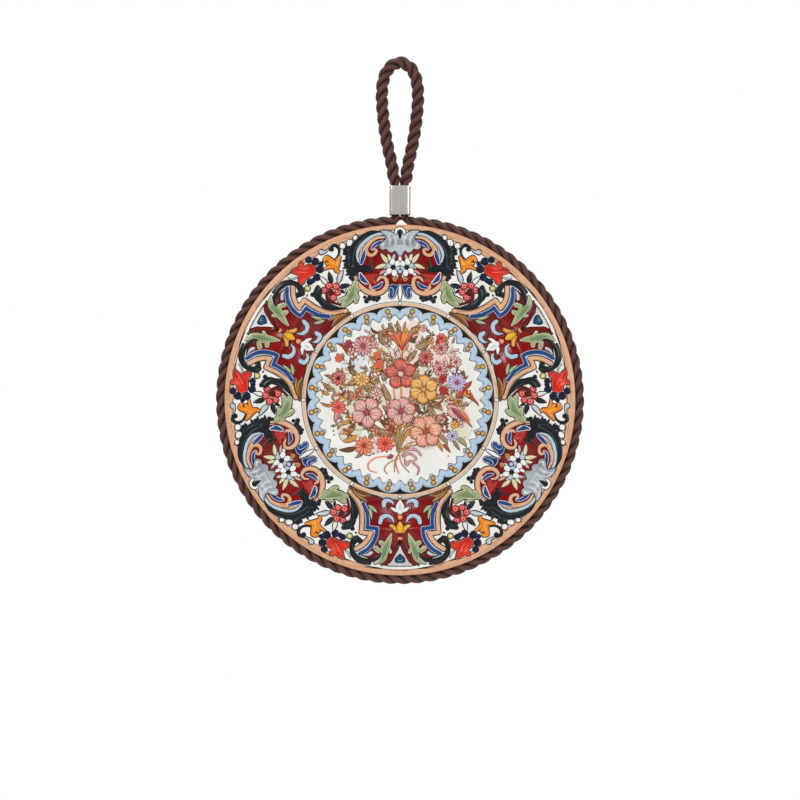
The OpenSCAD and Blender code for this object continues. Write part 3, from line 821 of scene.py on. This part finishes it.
# umber fan at the foot of the frame, and the white slip beside it
strokes("umber", [[(13.6, 43.9, 0.5), (17, 43.3, 1.5), (20, 41.9, 1.5), (23.2, 39.9, 0.5)],
    [(15.4, 46.6, 0.5), (18.4, 44.6, 1.1), (21, 42.4, 0.8)]], vases, outline="ink", edge=0.15)
brush("ochre", [(14.2, 44, 0.1), (17.6, 43.9, 0.25), (21.6, 41.6, 0.1)], vases)
brush("ochre", [(15.6, 46, 0.1), (18, 44.9, 0.2), (20.8, 42.8, 0.1)], vases)
brush("peach", [(13.2, 42.3, 0.2), (17, 41.5, 0.35), (21.2, 39.7, 0.2)], vases)
for k in range(5):
    brush("ink", [(14.6 + 1.7 * k, 44.9 - 0.5 * k, 0.07), (15.4 + 1.7 * k, 42.9 - 0.65 * k, 0.13)], vases,
        steps=2)
# small leaves and crescents
leaf("sage", (14.6, 48.4), (10.6, 51.9), 0.95, vases, bend=0.06, vein="cream")
leaf("sage", (14.4, 49.6), (13, 55), 0.85, vases, bend=0.05, vein="cream")
strokes("paleBlue", [[(3, 48, 0.2), (3.9, 46.7, 0.7), (5.7, 46.1, 1), (7.2, 46.9, 1.2), (7.4, 48.4, 1.15)]],
    vases)
strokes("paleBlue", [[(2.9, 56.2, 0.25), (3.8, 54.2, 0.75), (6, 53.1, 1), (8.3, 54.1, 1.15),
    (9.1, 56.2, 1.05)]], vases)
brush("ink", [(5.2, 48.8, 0.5), (5.6, 50.2, 0.3), (4.8, 51.4, 0.1)], vases)
spot("scarlet", 3.4, 52.4, 0.6, vases, edge=0.2)
# white and yellow fleurs, and orange pills on the axis
strokes("white", [[(0, 46.4, 0.6), (0, 48.9, 2.3), (0, 51.6, 1.5), (0, 52.7, 0.6)]], vaseAxes)
strokes("white", [[(0.8, 51, 0.9), (2.6, 50.4, 0.9), (3.9, 49.5, 0.4)]], vases)
strokes("white", [[(0, 46.7, 0.5), (0, 48.9, 2.2), (0, 51.4, 1.3)]], vaseAxes, outline=None)
leaf("paleBlue", (0, 50.8), (0, 47.4), 0.5, vaseAxes, outline=None)
spot("salmon", 0, 53.9, 1.25, vaseAxes)
dab("amber", 0, 53.9, 0.6, vaseAxes)
lotus = wholeOf([(0, 55.6), (1.1, 56.6), (1.6, 58), (2.7, 57.3), (3.9, 56.8), (5.1, 57.4), (4.6, 58.5),
    (3.5, 59.2), (2.5, 60.4), (1.7, 61.4), (0.7, 61)])
field("ochre", lotus, vaseAxes, outlined="ink")
brush("amber", [(4.4, 57.6, 0.2), (3.4, 58.1, 0.5), (2.2, 59.6, 0.4)], vases)
brush("yellow", [(0, 56.4, 0.5), (0, 58.3, 1.35), (0, 60.3, 0.9)], vaseAxes)
brush("umber", [(1.6, 58.2, 0.08), (1.7, 59.4, 0.13), (1.2, 60.9, 0.08)], vases)
dab("maroon", 0, 62.2, 1.3, vaseAxes, 0.5)
spot("salmon", 0, 64, 1.25, vaseAxes)
dab("amber", 0, 64, 0.6, vaseAxes)
brush("maroon", [(0, 65.4, 1.5), (2.2, 67.2, 0.9), (3.9, 70.2, 0.8), (5.6, 73.4, 0.7), (8.6, 76, 0.4)], vases)
# white spire with its blue window
field("white", wholeOf([(0, 66.8), (0.8, 68.6), (1.8, 70.4), (2.8, 72.2), (3.9, 74.2), (5.9, 75.9), (3, 76.2),
    (0, 76.2)]), vaseAxes, outlined="ink")
field("teal", wholeOf([(0, 70.8), (1, 71.7), (2, 72.7), (2.2, 74.3), (1.1, 74.6), (0, 74.6)]), vaseAxes,
    outlined="ink")
strokes("skyBlue", [[(-0.9, 73.8, 0.15), (0, 73.9, 0.22), (0.9, 73.8, 0.15)]], vaseAxes, outline=None)
# sage acanthus climbing beside it
acanthus([[(4, 61.7, 0.4), (4.9, 64.2, 1.4), (6.2, 67, 2), (7.3, 69.3, 2.3), (7.6, 71.7, 1.9),
    (8.8, 73.7, 1.4), (11.5, 75, 0.4)], [(6.6, 66.9, 1.3), (8.7, 65.5, 1.2)],
    [(7.8, 69.6, 1.4), (9.8, 69.2, 1.2), (11.1, 68.1, 1.3)], [(5.4, 68.4, 1), (4.4, 69.8, 0.8)]],
    [(5.6, 65.4, 0.3), (7.1, 69.2, 1.1), (8, 72.6, 0.4)], vases)
brush("maroon", [(9.6, 71.6, 0.1), (11.4, 71.2, 0.6), (13, 70.2, 0.1)], vases)
strokes("silver", [[(13.2, 70.2, 0.85), (14.6, 71, 0.7), (16.9, 71.2, 0.2)]], vases)
# black hook beside the spire
brush("black", [(8.9, 70.1, 0.25), (9.7, 72, 0.8), (12.1, 73.4, 1), (15.3, 73.8, 1.1), (18.4, 72.9, 1.1),
    (20.9, 70.8, 1), (22.2, 68, 0.95), (22.2, 65.4, 0.9), (21.2, 63.4, 0.85), (19.6, 62.9, 0.8)], vases)
dab("black", 19.1, 64.2, 1.4, vases)
# black drop and comma next to the peach frame
brush("black", [(22.6, 44.6, 0.4), (20.8, 47.6, 1), (20.2, 51.2, 1.3), (21.2, 54.3, 1.3), (23.3, 56.2, 1.2),
    (25.4, 56.8, 1.2)], vases)
print("band painted,", laid["count"], "shapes")


# ---- the bouquet in the medallion: washes of colour under sepia line work (mm from the plate's centre)
# heights of its layers: the bouquet starts on the rings, which nothing painted later touches
layers = {"bouquet": 60, "perTwig": 8, "twigs": 9, "curls": 8, "open": 82, "honey": 80, "asters": 160,
    "lily": 60}
laid["count"] = layers["bouquet"]
# thin washes that the brush left round the flowers
for x, z, r, rz, colour in ((-16, 24, 7, 5, "washSky"), (-22, 16, 6, 4, "washSky"),
        (18, 20, 8, 9, "washRose"), (-8, 20, 7, 6, "washLeaf"), (-26, -1, 6, 7, "washRose"),
        (-12, 2, 8, 7, "washRose"), (26, 5, 7, 7, "washSky"), (27, -14, 6, 6, "washLeaf"),
        (28, -8, 5, 5, "washRose"), (-23, -14, 6, 5, "washLeaf"), (-11, -21, 9, 4, "washRose"),
        (12, -15, 9, 8, "washRose"), (4, 6, 10, 8, "washRose"), (6, 28, 9, 5, "washRose"),
        (-18, 0, 8, 9, "washLeaf"), (2, 20, 9, 7, "washRose"), (20, 3, 7, 8, "washLeaf"),
        (0, -18, 8, 4, "washRose"), (12, 11, 8, 6, "washLeaf"), (-28, 9, 5, 7, "washLeaf"),
        (16, -4, 6, 5, "washLeaf"), (-3, -12, 6, 6, "washLeaf")):
    dab(colour, x, z, r, once, rz, 15 * x)
# stems gathered at the tie, each a smooth line to its flower
gather = (-0.6, -24)
for x, z, w in ((-17, -1, 0.25), (-14, 22, 0.3), (-3, 5, 0.4), (1, 23, 0.45), (11, 1, 0.4), (18, 12, 0.3),
        (25, 4, 0.25), (22, -6, 0.25), (-24, -8, 0.2), (-7, -15, 0.3), (9, -12, 0.35), (17, -17, 0.25),
        (-13, -18, 0.25), (2, -9, 0.5), (-1.5, -9, 0.4)):
    strokes("ochre", [[(*gather, w), (gather[0] + 0.12 * x, -17.5, w), (0.42 * x, -10 + 0.25 * (z + 10),
        w * 0.9), (x, z, w * 0.6)]], once, outline="sienna", edge=0.13)
for dx in (-1.6, -0.5, 0.6, 1.7):
    strokes("olive", [[(gather[0] + dx * 0.4, -23.5, 0.3), (gather[0] + dx * 0.8, -18.5, 0.4),
        (gather[0] + dx * 1.6, -13, 0.35)]], once, outline="sienna", edge=0.14)
for line in ([(-0.8, -25, 0.2), (-2, -29, 0.25), (-0.6, -33.6, 0.15)], [(-0.4, -25, 0.2), (0.9, -29.5, 0.25),
        (4.2, -33.2, 0.15)], [(-1, -27, 0.2), (-5.4, -29, 0.2), (-7.2, -32, 0.2), (-5.8, -34, 0.12)],
        [(-1.6, -26, 0.2), (-2.6, -30, 0.2), (-2.4, -33, 0.12)], [(0, -24, 0.25), (3.5, -21.6, 0.3),
        (8.6, -20.4, 0.2)], [(0.2, -23.4, 0.2), (3.2, -20.4, 0.25), (7, -19.2, 0.15)]):
    strokes("ochre", [line], once, outline="sienna", edge=0.14)

# leaves: foot, tip, half-width, colour, bend
for foot, tip, half, colour, bend in (((-9.5, -13), (-17.5, -10.6), 1.8, "olive", 0.1),
        ((-3, -12.5), (-9, -8.8), 1.6, "umber", 0.1), ((3, -12.4), (6.6, -7.8), 1.3, "olive", 0),
        ((2.4, -17), (7.2, -12.8), 1.2, "ochre", 0.1), ((-5, -17), (-9.6, -15.4), 1.3, "olive", 0.1),
        ((-12, -1.6), (-8.8, 3.4), 1.2, "olive", 0), ((6.2, -2), (9, -6.6), 1.3, "umber", 0.1),
        ((-20, -16.2), (-26, -19.2), 1.2, "ochre", 0.1), ((-1.2, 17.6), (-6.2, 14.4), 1.2, "olive", 0.1),
        ((6.2, 14.2), (9.2, 18.6), 1.2, "umber", 0), ((13.6, 9.4), (18.2, 7.6), 1.2, "olive", 0.1),
        ((-5.2, 25.4), (-9.4, 31.4), 2.1, "olive", 0.1), ((-9.6, 31), (-13.4, 33.4), 0.5, "umber", 0.2),
        ((-3, 30.4), (-5.2, 35.4), 1.1, "olive", 0), ((-0.8, 31.6), (-1.2, 36.4), 0.8, "olive", 0),
        ((1.6, 31.4), (2.6, 36), 0.6, "ochre", 0), ((4.6, 31.2), (8.8, 34.4), 1.6, "olive", -0.1),
        ((7.4, 24.6), (13.4, 27.2), 1.9, "olive", -0.15), ((12.2, 27), (16.2, 29.9), 0.35, "umber", 0.15),
        ((-8.2, 16.8), (-13.8, 15), 1.1, "ochre", 0.1), ((-2.6, 18.2), (-8, 22.6), 1.3, "olive", 0.1),
        ((-5.6, 19), (-14.4, 20), 0.9, "ochre", 0.1), ((3.8, 17.8), (7.8, 22.6), 1.4, "olive", 0.05),
        ((-19.2, 11.4), (-23.6, 15.6), 1.2, "olive", 0.1), ((-19.6, 9.6), (-25, 7), 1.4, "olive", 0.1),
        ((-13.2, 8.6), (-12.2, 14.2), 0.9, "olive", 0.1), ((-24.2, 20.8), (-28.6, 25.7), 0.8, "russet", -0.2),
        ((-20.8, 23.4), (-27.2, 25.2), 1.2, "russet", 0.05), ((-11, 6), (-17.2, 5.6), 1.1, "olive", 0.15),
        ((-18, 5.2), (-20.6, 0.6), 1, "olive", -0.1), ((-4.2, -0.6), (-7.4, 7.2), 1.5, "olive", 0.08),
        ((-23, 2.4), (-24.2, -2.6), 0.9, "olive", 0.1), ((-1.6, -15.4), (-13, -12.4), 1.7, "olive", 0.1),
        ((-8, -2.6), (-5, -11), 1, "olive", 0.15), ((-29.4, 8.4), (-34.6, 11.4), 0.9, "olive", -0.1),
        ((-31.2, 5.4), (-35.4, 8), 1, "olive", 0.1), ((-32.6, 2.6), (-36.2, 4.6), 0.7, "ochre", 0.1),
        ((-31, -2.6), (-36.4, -1.2), 0.6, "ochre", 0.1), ((-21.2, -7.6), (-27.4, -11.2), 1, "ochre", 0.1),
        ((-20.8, -10.4), (-27.2, -15.6), 1.2, "ochre", 0.12), ((-20.4, -12), (-24, -17.4), 0.9, "olive",
        -0.1), ((-20.4, -22.2), (-27.9, -22.9), 1.1, "umber", 0.05), ((-17, -22.8), (-20.6, -26.6), 0.9,
        "olive", 0.1), ((-13, -15), (-14.6, -19.2), 0.7, "olive", 0), ((14, -1.6), (19.4, -4.8), 1.6, "olive",
        0.12), ((12.6, -3), (16.4, -7.6), 1.2, "olive", 0.05), ((15, 0.6), (21.4, 1), 1.2, "olive", 0.12),
        ((17.4, -7.4), (21.6, -12.4), 1.2, "blush", 0.1), ((17.8, -16.2), (21.8, -20.6), 1, "olive", 0.1),
        ((15.8, -18.6), (19.4, -23.6), 0.9, "ochre", 0.1), ((19.8, -20.4), (23, -24), 0.7, "russet", 0.05),
        ((26, -17.6), (30.6, -21.6), 1.1, "sage", 0.1), ((24.6, -18.8), (27.4, -23), 0.7, "olive", 0),
        ((28, 5.2), (32.8, 8.6), 1.2, "russet", -0.1), ((27.4, 4), (28.6, 0.6), 1.1, "tulipRed", 0),
        ((28.6, 4.2), (33.8, 0.2), 1.2, "tulipRed", 0.1), ((30, 2), (36.2, -2.6), 0.6, "russet", 0.1),
        ((18.4, 5.6), (22.6, 2.2), 1, "scarlet", 0), ((18.6, 8.6), (21.6, 12), 1, "rosette", 0)):
    leaf(colour, foot, tip, half, once, bend, outline="sienna", edge=0.26, vein="sienna")

# fine curling lines, one thin brush each
for line in ([(-36, 1), (-34.6, 5.4), (-31.8, 8.4), (-30, 9.6)], [(-35.6, -2.4), (-32.4, -2.2),
        (-29.6, -3.2)], [(-22.6, -16.2), (-26.4, -18.6), (-27.8, -15.8), (-25.6, -13)],
        [(-24.6, 17.4), (-22.4, 15.2), (-20.6, 11.6)], [(-13.2, 13.8), (-14.2, 9.4), (-10.8, 6.2),
        (-8.2, 4.8)], [(12.4, 13.4), (14.2, 16.4), (12.6, 18.8)], [(13.4, 9.8), (15.2, 13.6), (15, 17.6)],
        [(5.4, 15.6), (3.8, 19.2), (7.4, 23.6)], [(-2.6, 17.4), (-2, 21.6), (-5.4, 24.8)],
        [(20.6, 19.8), (22.2, 16.2), (21.6, 12.6)], [(23.2, 20.6), (25.4, 22.6), (28.2, 21.4)],
        [(19.8, 0.2), (23.4, -1.4), (24.8, -3.2)], [(16.2, -8.6), (19.6, -9.6), (21.2, -12.4)],
        [(-12, -24.6), (-14.4, -25.6), (-17.4, -24.6)], [(-12.6, -8.8), (-16.8, -13.4), (-21.2, -13.6)],
        [(-8.4, -22.4), (-4.4, -22.4), (-2, -20.4)], [(7.8, -6.8), (11.4, -5.6), (13.2, -2.6)],
        [(-1.2, 25), (0.2, 20.6), (0.2, 16.6)], [(1.6, 24.6), (1.2, 20.8), (0.8, 17)]):
    brush("sienna", [(x, z, 0.14) for x, z in line], once)

# small twigs between the flowers, growing away from the tie: a curled line with leaves or a tiny bud
twigs = {"seed": 11, "count": 190, "across": 30.5, "up": 28.5, "middleZ": 3, "half": 0.13, "leaf": 2.2,
    "leafHalf": 0.55}
rng = np.random.default_rng(twigs["seed"])
twigLayer = laid["count"]   # twigs that lie apart share a few heights, so the paint stays thin
for k in range(twigs["count"]):
    laid["count"] = twigLayer + layers["perTwig"] * (k % layers["twigs"])
    reach, bearing = rng.uniform(0.03, 1), rng.uniform(0, 2 * np.pi)
    sway, size = rng.uniform(-0.9, 0.9), rng.uniform(2.6, 4.6)
    x = twigs["across"] * math.sqrt(reach) * math.cos(bearing)
    z = twigs["middleZ"] + twigs["up"] * math.sqrt(reach) * math.sin(bearing)
    if z < -19 and abs(x) < 12:
        continue
    lean = math.atan2(z + 24, x) + sway
    c, s = math.cos(lean), math.sin(lean)
    bend = (x + size * 0.5 * c - 0.5 * s, z + size * 0.5 * s + 0.5 * c)
    tip = (x + size * c + 0.4 * s, z + size * s - 0.4 * c)
    brush("sepia", [(*point, twigs["half"]) for point in ((x, z), bend, tip)], once, steps=3)
    hue = ("olive", "umber", "russet", "olive", "salmon", "ochre", "blush", "olive")[k % 8]
    for share, turn in ((0.45, 0.9), (0.6, -0.9), (1, 0.1)):
        foot = polar(x, z, size * share, lean)
        leaf(hue, foot, polar(*foot, twigs["leaf"], lean + turn), twigs["leafHalf"], once, outline="sepia",
            edge=0.17)
# hair-fine curls between them
curls = {"count": 110, "across": 31, "up": 28, "middleZ": 4, "half": 0.1}
for k in range(curls["count"]):
    laid["count"] = twigLayer + layers["perTwig"] * layers["twigs"] + k % layers["curls"]
    reach, bearing = rng.uniform(0.05, 1), rng.uniform(0, 2 * np.pi)
    heading, size = rng.uniform(0, 2 * np.pi), rng.uniform(2.2, 5)
    x = curls["across"] * math.sqrt(reach) * math.cos(bearing)
    z = curls["middleZ"] + curls["up"] * math.sqrt(reach) * math.sin(bearing)
    brush("sepia", [(*polar(x, z, size * share, heading + 1.6 * share), curls["half"]) for share in (0, 0.35,
        0.7, 1)], once, steps=3)
laid["count"] = twigLayer + layers["open"]

# open flowers: centre, radius, petals, colour, heart, first petal's angle; those that lie apart share heights
openLayer = laid["count"]
tipWash = {"rose": "coral", "blush": "shell", "apricot": "shell", "honey": "amber"}
for x, z, r, petals, colour, heart, turned in ((0.3, 12, 6.9, 5, "rose", "blush", 95),
        (-15.3, -5.7, 6.9, 5, "blush", "magenta", 62), (0.5, -5.2, 6.4, 6, "blush", "magenta", 75),
        (11.9, -14.4, 7.2, 6, "apricot", "russet", 70), (10.9, 4.9, 6.4, 6, "honey", "gold", 85)):
    laid["count"] = openLayer + (layers["honey"] if colour == "honey" else 0)
    petalVein = "maroon" if colour in ("rose", "blush") else "russet"
    flower(x, z, r, petals, colour, heart, once, turned, edge=0.28, wide=0.42, veins=petalVein, middleR=0.2)
    for k in range(petals):
        angle = math.radians(turned + 360 * (k + 0.5) / petals)
        brush("sienna", [(*polar(x, z, 0.24 * r, angle), 0.12), (*polar(x, z, 0.5 * r, angle), 0.16)], once,
            steps=2)
        # a paler wash and short dark dashes at each petal's tip, which leave its edge ragged
        angle = math.radians(turned + 360 * k / petals)
        dab(tipWash[colour], *polar(x, z, 0.8 * r, angle), r * 0.13, once, r * 0.2, math.degrees(angle))
        for lean in (-0.26, -0.1, 0.08, 0.24):
            reach = 1.03 + 0.05 * math.sin(23 * lean + x + k)
            brush("sienna", [(*polar(x, z, 0.84 * r, angle + lean), 0.08),
                (*polar(x, z, reach * r, angle + lean), 0.13)], once, steps=2)
            laid["count"] -= 1
# asters and ragged small flowers: many slim petals
asterLayer = openLayer + layers["asters"]
for x, z, r, petals, colour, heart in ((-17, 24.8, 4.6, 13, "rosePink", "magenta"),
        (26.2, 8, 4.2, 15, "lilac", "magenta"), (-16.5, -21, 4.4, 11, "salmon", "scarlet"),
        (-6.9, -20, 4, 11, "coral", "scarlet"), (-28.4, 10, 3.4, 9, "rose", "maroon"),
        (-17.5, 9.4, 3.3, 9, "honey", "ochre"), (11.9, 19.8, 3.4, 10, "rose", "scarlet"),
        (18.8, 23.8, 3.2, 10, "rosePink", "scarlet"), (19, 28.4, 2.3, 8, "coral", "maroon"),
        (18.3, 14.2, 3.2, 10, "rosePink", "scarlet"), (25.7, 17.4, 2.6, 9, "blush", "magenta"),
        (-28.2, -3.4, 3.3, 10, "coral", "scarlet"), (24.1, -16.6, 2.6, 9, "lavender", "magenta"),
        (-28, 19.2, 1.9, 7, "coral", "orange"), (-9.4, 16.4, 2.2, 7, "coral", "orange"),
        (-10.6, 20.4, 1.9, 6, "coral", "orange"), (19.6, 9.6, 2, 7, "rosette", "maroon"),
        (20, 4.4, 2.1, 7, "rosette", "scarlet"), (-10.8, 2.8, 2.8, 8, "blush", "rosePink"),
        (-11.6, 25.4, 1.8, 6, "blush", "rosePink"), (10.8, 33, 1.7, 6, "blush", "rosePink"),
        (25, -11.4, 1.8, 6, "amber", "orange"), (-23.6, 25.8, 1.9, 7, "magenta", "rosette")):
    laid["count"] = asterLayer
    line = "violet" if colour == "lilac" else "maroon"
    flower(x, z, r, petals, colour, heart, once, 20, edge=0.14, wide=2.1 / petals, middleR=0.26, outline=line)
    for k in range(petals):
        angle = math.radians(20 + 360 * (k + 0.5) / petals)
        brush(line, [(*polar(x, z, 0.25 * r, angle), 0.1), (*polar(x, z, 0.62 * r, angle), 0.08)], once,
            steps=2)
# the lily at the top: upright petals of orange and flame
laid["count"] = asterLayer + layers["lily"]
for foot, tip, half, colour, bend in (((0.8, 23.6), (-5.8, 30.2), 1, "coral", -0.1),
        ((0.8, 23.6), (6.6, 30.6), 1, "coral", 0.1), ((0.8, 23.4), (-2.6, 31.6), 1.3, "orange", -0.05),
        ((0.8, 23.4), (4, 31.8), 1.3, "orange", 0.05), ((0.8, 23.2), (0.9, 31.4), 1.6, "tulipRed", 0),
        ((1, 25.8), (2, 32), 0.8, "yellow", 0), ((0.6, 24.2), (-7.2, 32.6), 0.5, "salmon", -0.15),
        ((1, 24.2), (8.2, 30.6), 0.5, "salmon", 0.2)):
    leaf(colour, foot, tip, half, once, bend, outline="sienna", edge=0.2, vein="russet")
# buds, drops and ribbon
for foot, tip, half, colour in (((-28.8, -5.8), (-29.9, -10.2), 1.1, "rosePink"), ((21.6, -3), (27.4, -4.4),
        1.7, "rosePink"), ((22.2, -4.6), (26.4, -8.6), 1.8, "blush"), ((23.6, -3.6), (29.8, -9.8), 1.1,
        "magenta"), ((27.4, -4.6), (32, -9.6), 0.9, "salmon"), ((29.6, -8.4), (33.2, -12.6), 0.4, "coral"),
        ((16.8, 25.4), (18, 29.8), 0.7, "rosette"), ((-3.2, -25.6), (-6, -26.6), 1, "magenta"),
        ((24, 26), (25.2, 29), 0.5, "salmon"), ((12.6, 15.6), (11.4, 18), 0.6, "scarlet"),
        ((-8.4, 14.4), (-12.4, 12.6), 0.6, "orange")):
    leaf(colour, foot, tip, half, once, outline="sienna", edge=0.18, vein="maroon")
strokes("salmon", [[(-5.6, -25.8, 0.2), (-11.4, -26.6, 0.35), (-14.6, -29.4, 0.4), (-14, -32.2, 0.35),
    (-10.6, -33.4, 0.15)]], once, outline=None)
strokes("rosePink", [[(0.8, -25.4, 0.3), (3.4, -22.8, 0.5), (7.4, -23, 0.5), (9.6, -25.4, 0.3)],
    [(1.4, -26.2, 0.3), (4.4, -24.6, 0.5), (7.4, -26.8, 0.4), (5.6, -28.4, 0.3)],
    [(2.2, -27.4, 0.4), (3, -29.8, 0.6), (4.2, -28.2, 0.4)], [(5, -28, 0.3), (8.6, -31.4, 0.4),
    (8, -34.2, 0.2)]], once, outline="sienna", edge=0.16)
for x, z, r, colour in ((-30.5, -11.8, 0.45, "sienna"), (-30.6, -14.2, 0.42, "ink"),
        (-30.3, -16, 0.38, "ink"), (-22.4, -16.4, 0.35, "maroon"), (-4.8, 24.8, 0.4, "navy"),
        (5.2, 23.4, 0.4, "navy"), (-36, 8.2, 0.4, "umber"), (29.6, -17.2, 0.35, "magenta"),
        (-10.2, -23.6, 0.4, "umber"), (-12.2, -24.6, 0.45, "umber"), (-14, -25.4, 0.4, "ink"),
        (21.8, 25.4, 0.35, "ink"), (22.4, 30.6, 0.3, "coral"), (27.6, 13.6, 0.35, "scarlet"),
        (29.6, 12.6, 0.35, "scarlet"), (31.2, 11, 0.35, "scarlet"), (24.6, 13.4, 0.35, "scarlet"),
        (20, 17.8, 0.4, "maroon"), (23, 19.6, 0.45, "rosePink"), (20.6, 18.4, 0.9, "blush"),
        (-19.4, 18.6, 0.5, "skyBlue"), (-26.6, 14.6, 0.4, "rosette"), (-24.8, 14.2, 0.35, "maroon"),
        (22.2, -25.8, 0.4, "coral"), (33, -14, 0.3, "coral"), (-21.8, -21.6, 0.35, "ink")):
    dab(colour, x, z, r, once)
print("bouquet painted,", laid["count"], "shapes in all")


# ---- each colour becomes one piece that rides on the plate
# each pigment in the heart of a stroke, then at its edge
pigments = {"ink": ("#17130F", "#120E0C"), "black": ("#1C2224", "#13181A"),
    "graphite": ("#4A5458", "#343C40"), "crimson": ("#98100E", "#780C0C"), "scarlet": ("#C4362A", "#9C2620"),
    "tulipRed": ("#E8321E", "#DC2A1A"), "coral": ("#F0705A", "#EA6048"), "rosette": ("#CC3630", "#B82A28"),
    "shell": ("#F0A698", "#E89486"), "maroon": ("#5E1614", "#4A1210"), "orange": ("#EE8C1E", "#E07C14"),
    "amber": ("#F4B45A", "#F0A848"), "yellow": ("#EAB81A", "#DCA610"), "ochre": ("#E2A24A", "#CC8C36"),
    "peach": ("#E2B492", "#CF9872"), "tan": ("#E4C8AA", "#CFA886"), "umber": ("#7A5634", "#5C3E24"),
    "sienna": ("#7A3218", "#642810"), "sepia": ("#6C3C20", "#542A12"), "rose": ("#DE8A7E", "#AE4640"),
    "honey": ("#EECA84", "#D69E48"), "apricot": ("#F0C8B0", "#D88A68"), "teal": ("#2A5A7E", "#1D4462"),
    "cobalt": ("#1F4884", "#17386A"), "navy": ("#1A1F38", "#121528"), "skyBlue": ("#86A8C4", "#6E93B2"),
    "paleBlue": ("#B8CCD8", "#A2B9C8"), "lavender": ("#C9CDE4", "#B4BAD6"), "lilac": ("#D2CAE2", "#A89CC6"),
    "silver": ("#C6CCD0", "#A9B1B6"), "paleSilver": ("#DADEDC", "#C8CCCA"), "white": ("#F1F0EC", "#DEDDD8"),
    "cream": ("#E6E0B8", "#CEC89C"), "straw": ("#D8CC70", "#B4A448"), "celadon": ("#B7C69A", "#A0B084"),
    "sage": ("#A2AF86", "#86926C"), "leafGreen": ("#78905F", "#657C50"), "gold": ("#E0A452", "#B87C34"),
    "rosePink": ("#E8B4AE", "#C27476"), "magenta": ("#B24A62", "#923448"), "salmon": ("#F0906E", "#E07A58"),
    "lilacBlue": ("#BACBE2", "#AEC0DC"), "washRose": ("#E4C6B8", "#E6D6CA"),
    "washLeaf": ("#D6CFB2", "#DEDAC8"), "washSky": ("#D4DADC", "#DEE0DE"), "blush": ("#EBCDC2", "#CC8C82"),
    "olive": ("#BBA47C", "#7E6038"), "russet": ("#C0572E", "#9C4220"), "violet": ("#8E6A92", "#765478")}

for name, store in paint.items():
    piece = addMesh("enamel" + name[0].upper() + name[1:], np.vstack(store["points"]), store["faces"],
        tone=np.concatenate(store["tone"]))
    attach(piece, "plate")
    # Painted overglaze enamel: glossy, thicker and paler in the heart of a stroke, brushed unevenly
    finish, tree, shader, place = addFinish(name + " overglaze enamel", Roughness=0.2, IOR=1.5,
        Specular_IOR_Level=0.35)
    tone = addNode(tree, "Attribute", {"attribute_name": "tone"}).outputs["Fac"]
    mottle = addNode(tree, "TexNoise", values={"Scale": 700.0, "Detail": 3.0},
        links={"Vector": place}).outputs["Fac"]
    level = addNode(tree, "Math", {"operation": "MULTIPLY_ADD"}, {1: 0.55}, {0: tone, 2: mottle}).outputs[0]
    heart, edge = pigments[name]
    tree.links.new(addRamp(tree, level, [(0.4, heart), (1.0, edge)]), shader.inputs["Base Color"])
    tree.links.new(addNode(tree, "MapRange", values={"To Min": 0.14, "To Max": 0.32},
        links={"Value": mottle}).outputs["Result"], shader.inputs["Roughness"])
    addBump(tree, shader, mottle, 0.00002, 0.5)
    finishWith(piece, finish)
print("enamel", len(paint), "colours,", sum(len(store["faces"]) for store in paint.values()), "faces")

# ---- light, floor and world
studio = {"floorZ": plateZ - 300, "floorR": 600, "floorSides": 96, "floor": "#F4F3F1"}
scene = bpy.context.scene
scene.view_settings.view_transform = "Standard"
world = bpy.data.worlds.new("paleStudio")
world.use_nodes = True
scene.world = world
tree = world.node_tree
tree.nodes.clear()
seen = addNode(tree, "Background", values={"Color": (1, 1, 1, 1), "Strength": 1.0})
fill = addNode(tree, "Background", values={"Color": (0.94, 0.97, 1, 1), "Strength": 0.32})
direct = addNode(tree, "LightPath")
both = addNode(tree, "MixShader", links={0: direct.outputs["Is Camera Ray"], 1: fill.outputs[0],
    2: seen.outputs[0]})
addNode(tree, "OutputWorld", links={"Surface": both.outputs[0]})


# A square lamp of so many watts, turned to face the plate's centre: yaw and pitch of the line that joins them
def addAreaLight(name, place, power, size):
    data = bpy.data.lights.new(name, "AREA")
    data.energy = power
    data.size = size
    lamp = bpy.data.objects.new(name, data)
    lamp.location = place
    toPlate = np.array([0, 0, plateZ * mm]) - np.array(place)
    yaw, pitch = math.atan2(toPlate[1], toPlate[0]), math.asin(toPlate[2] / np.linalg.norm(toPlate))
    lamp.rotation_euler = (math.radians(90) + pitch, 0, yaw - math.radians(90))
    scene.collection.objects.link(lamp)


addAreaLight("keyLight", (-0.9, -1.0, 0.75), 15.5, 0.7)
addAreaLight("fillLight", (1.0, -1.0, 0.25), 9.5, 0.9)
addAreaLight("backLight", (0.3, 1.1, 0.7), 10.0, 0.8)

turn = np.linspace(0, 2 * np.pi, studio["floorSides"], endpoint=False)
rings = np.array([0.02, 0.5, 1.0]) * studio["floorR"]
floorPoints = np.stack([rings[:, None] * np.cos(turn), rings[:, None] * np.sin(turn),
    np.full((3, len(turn)), studio["floorZ"])], -1).reshape(-1, 3)
# the floor faces up and is closed in the middle
floorFaces = gridFaces(3, len(turn), closedColumns=True)[:, ::-1].tolist() + [list(range(len(turn)))]
floor = addMesh("floor", floorPoints, floorFaces)
floorPaint = bpy.data.materials.new("matte white paint")
floorPaint.use_nodes = True
floorPaint.node_tree.nodes["Principled BSDF"].inputs["Base Color"].default_value = linear(studio["floor"])
floorPaint.node_tree.nodes["Principled BSDF"].inputs["Roughness"].default_value = 0.9
floor.data.materials.append(floorPaint)
print("studio")
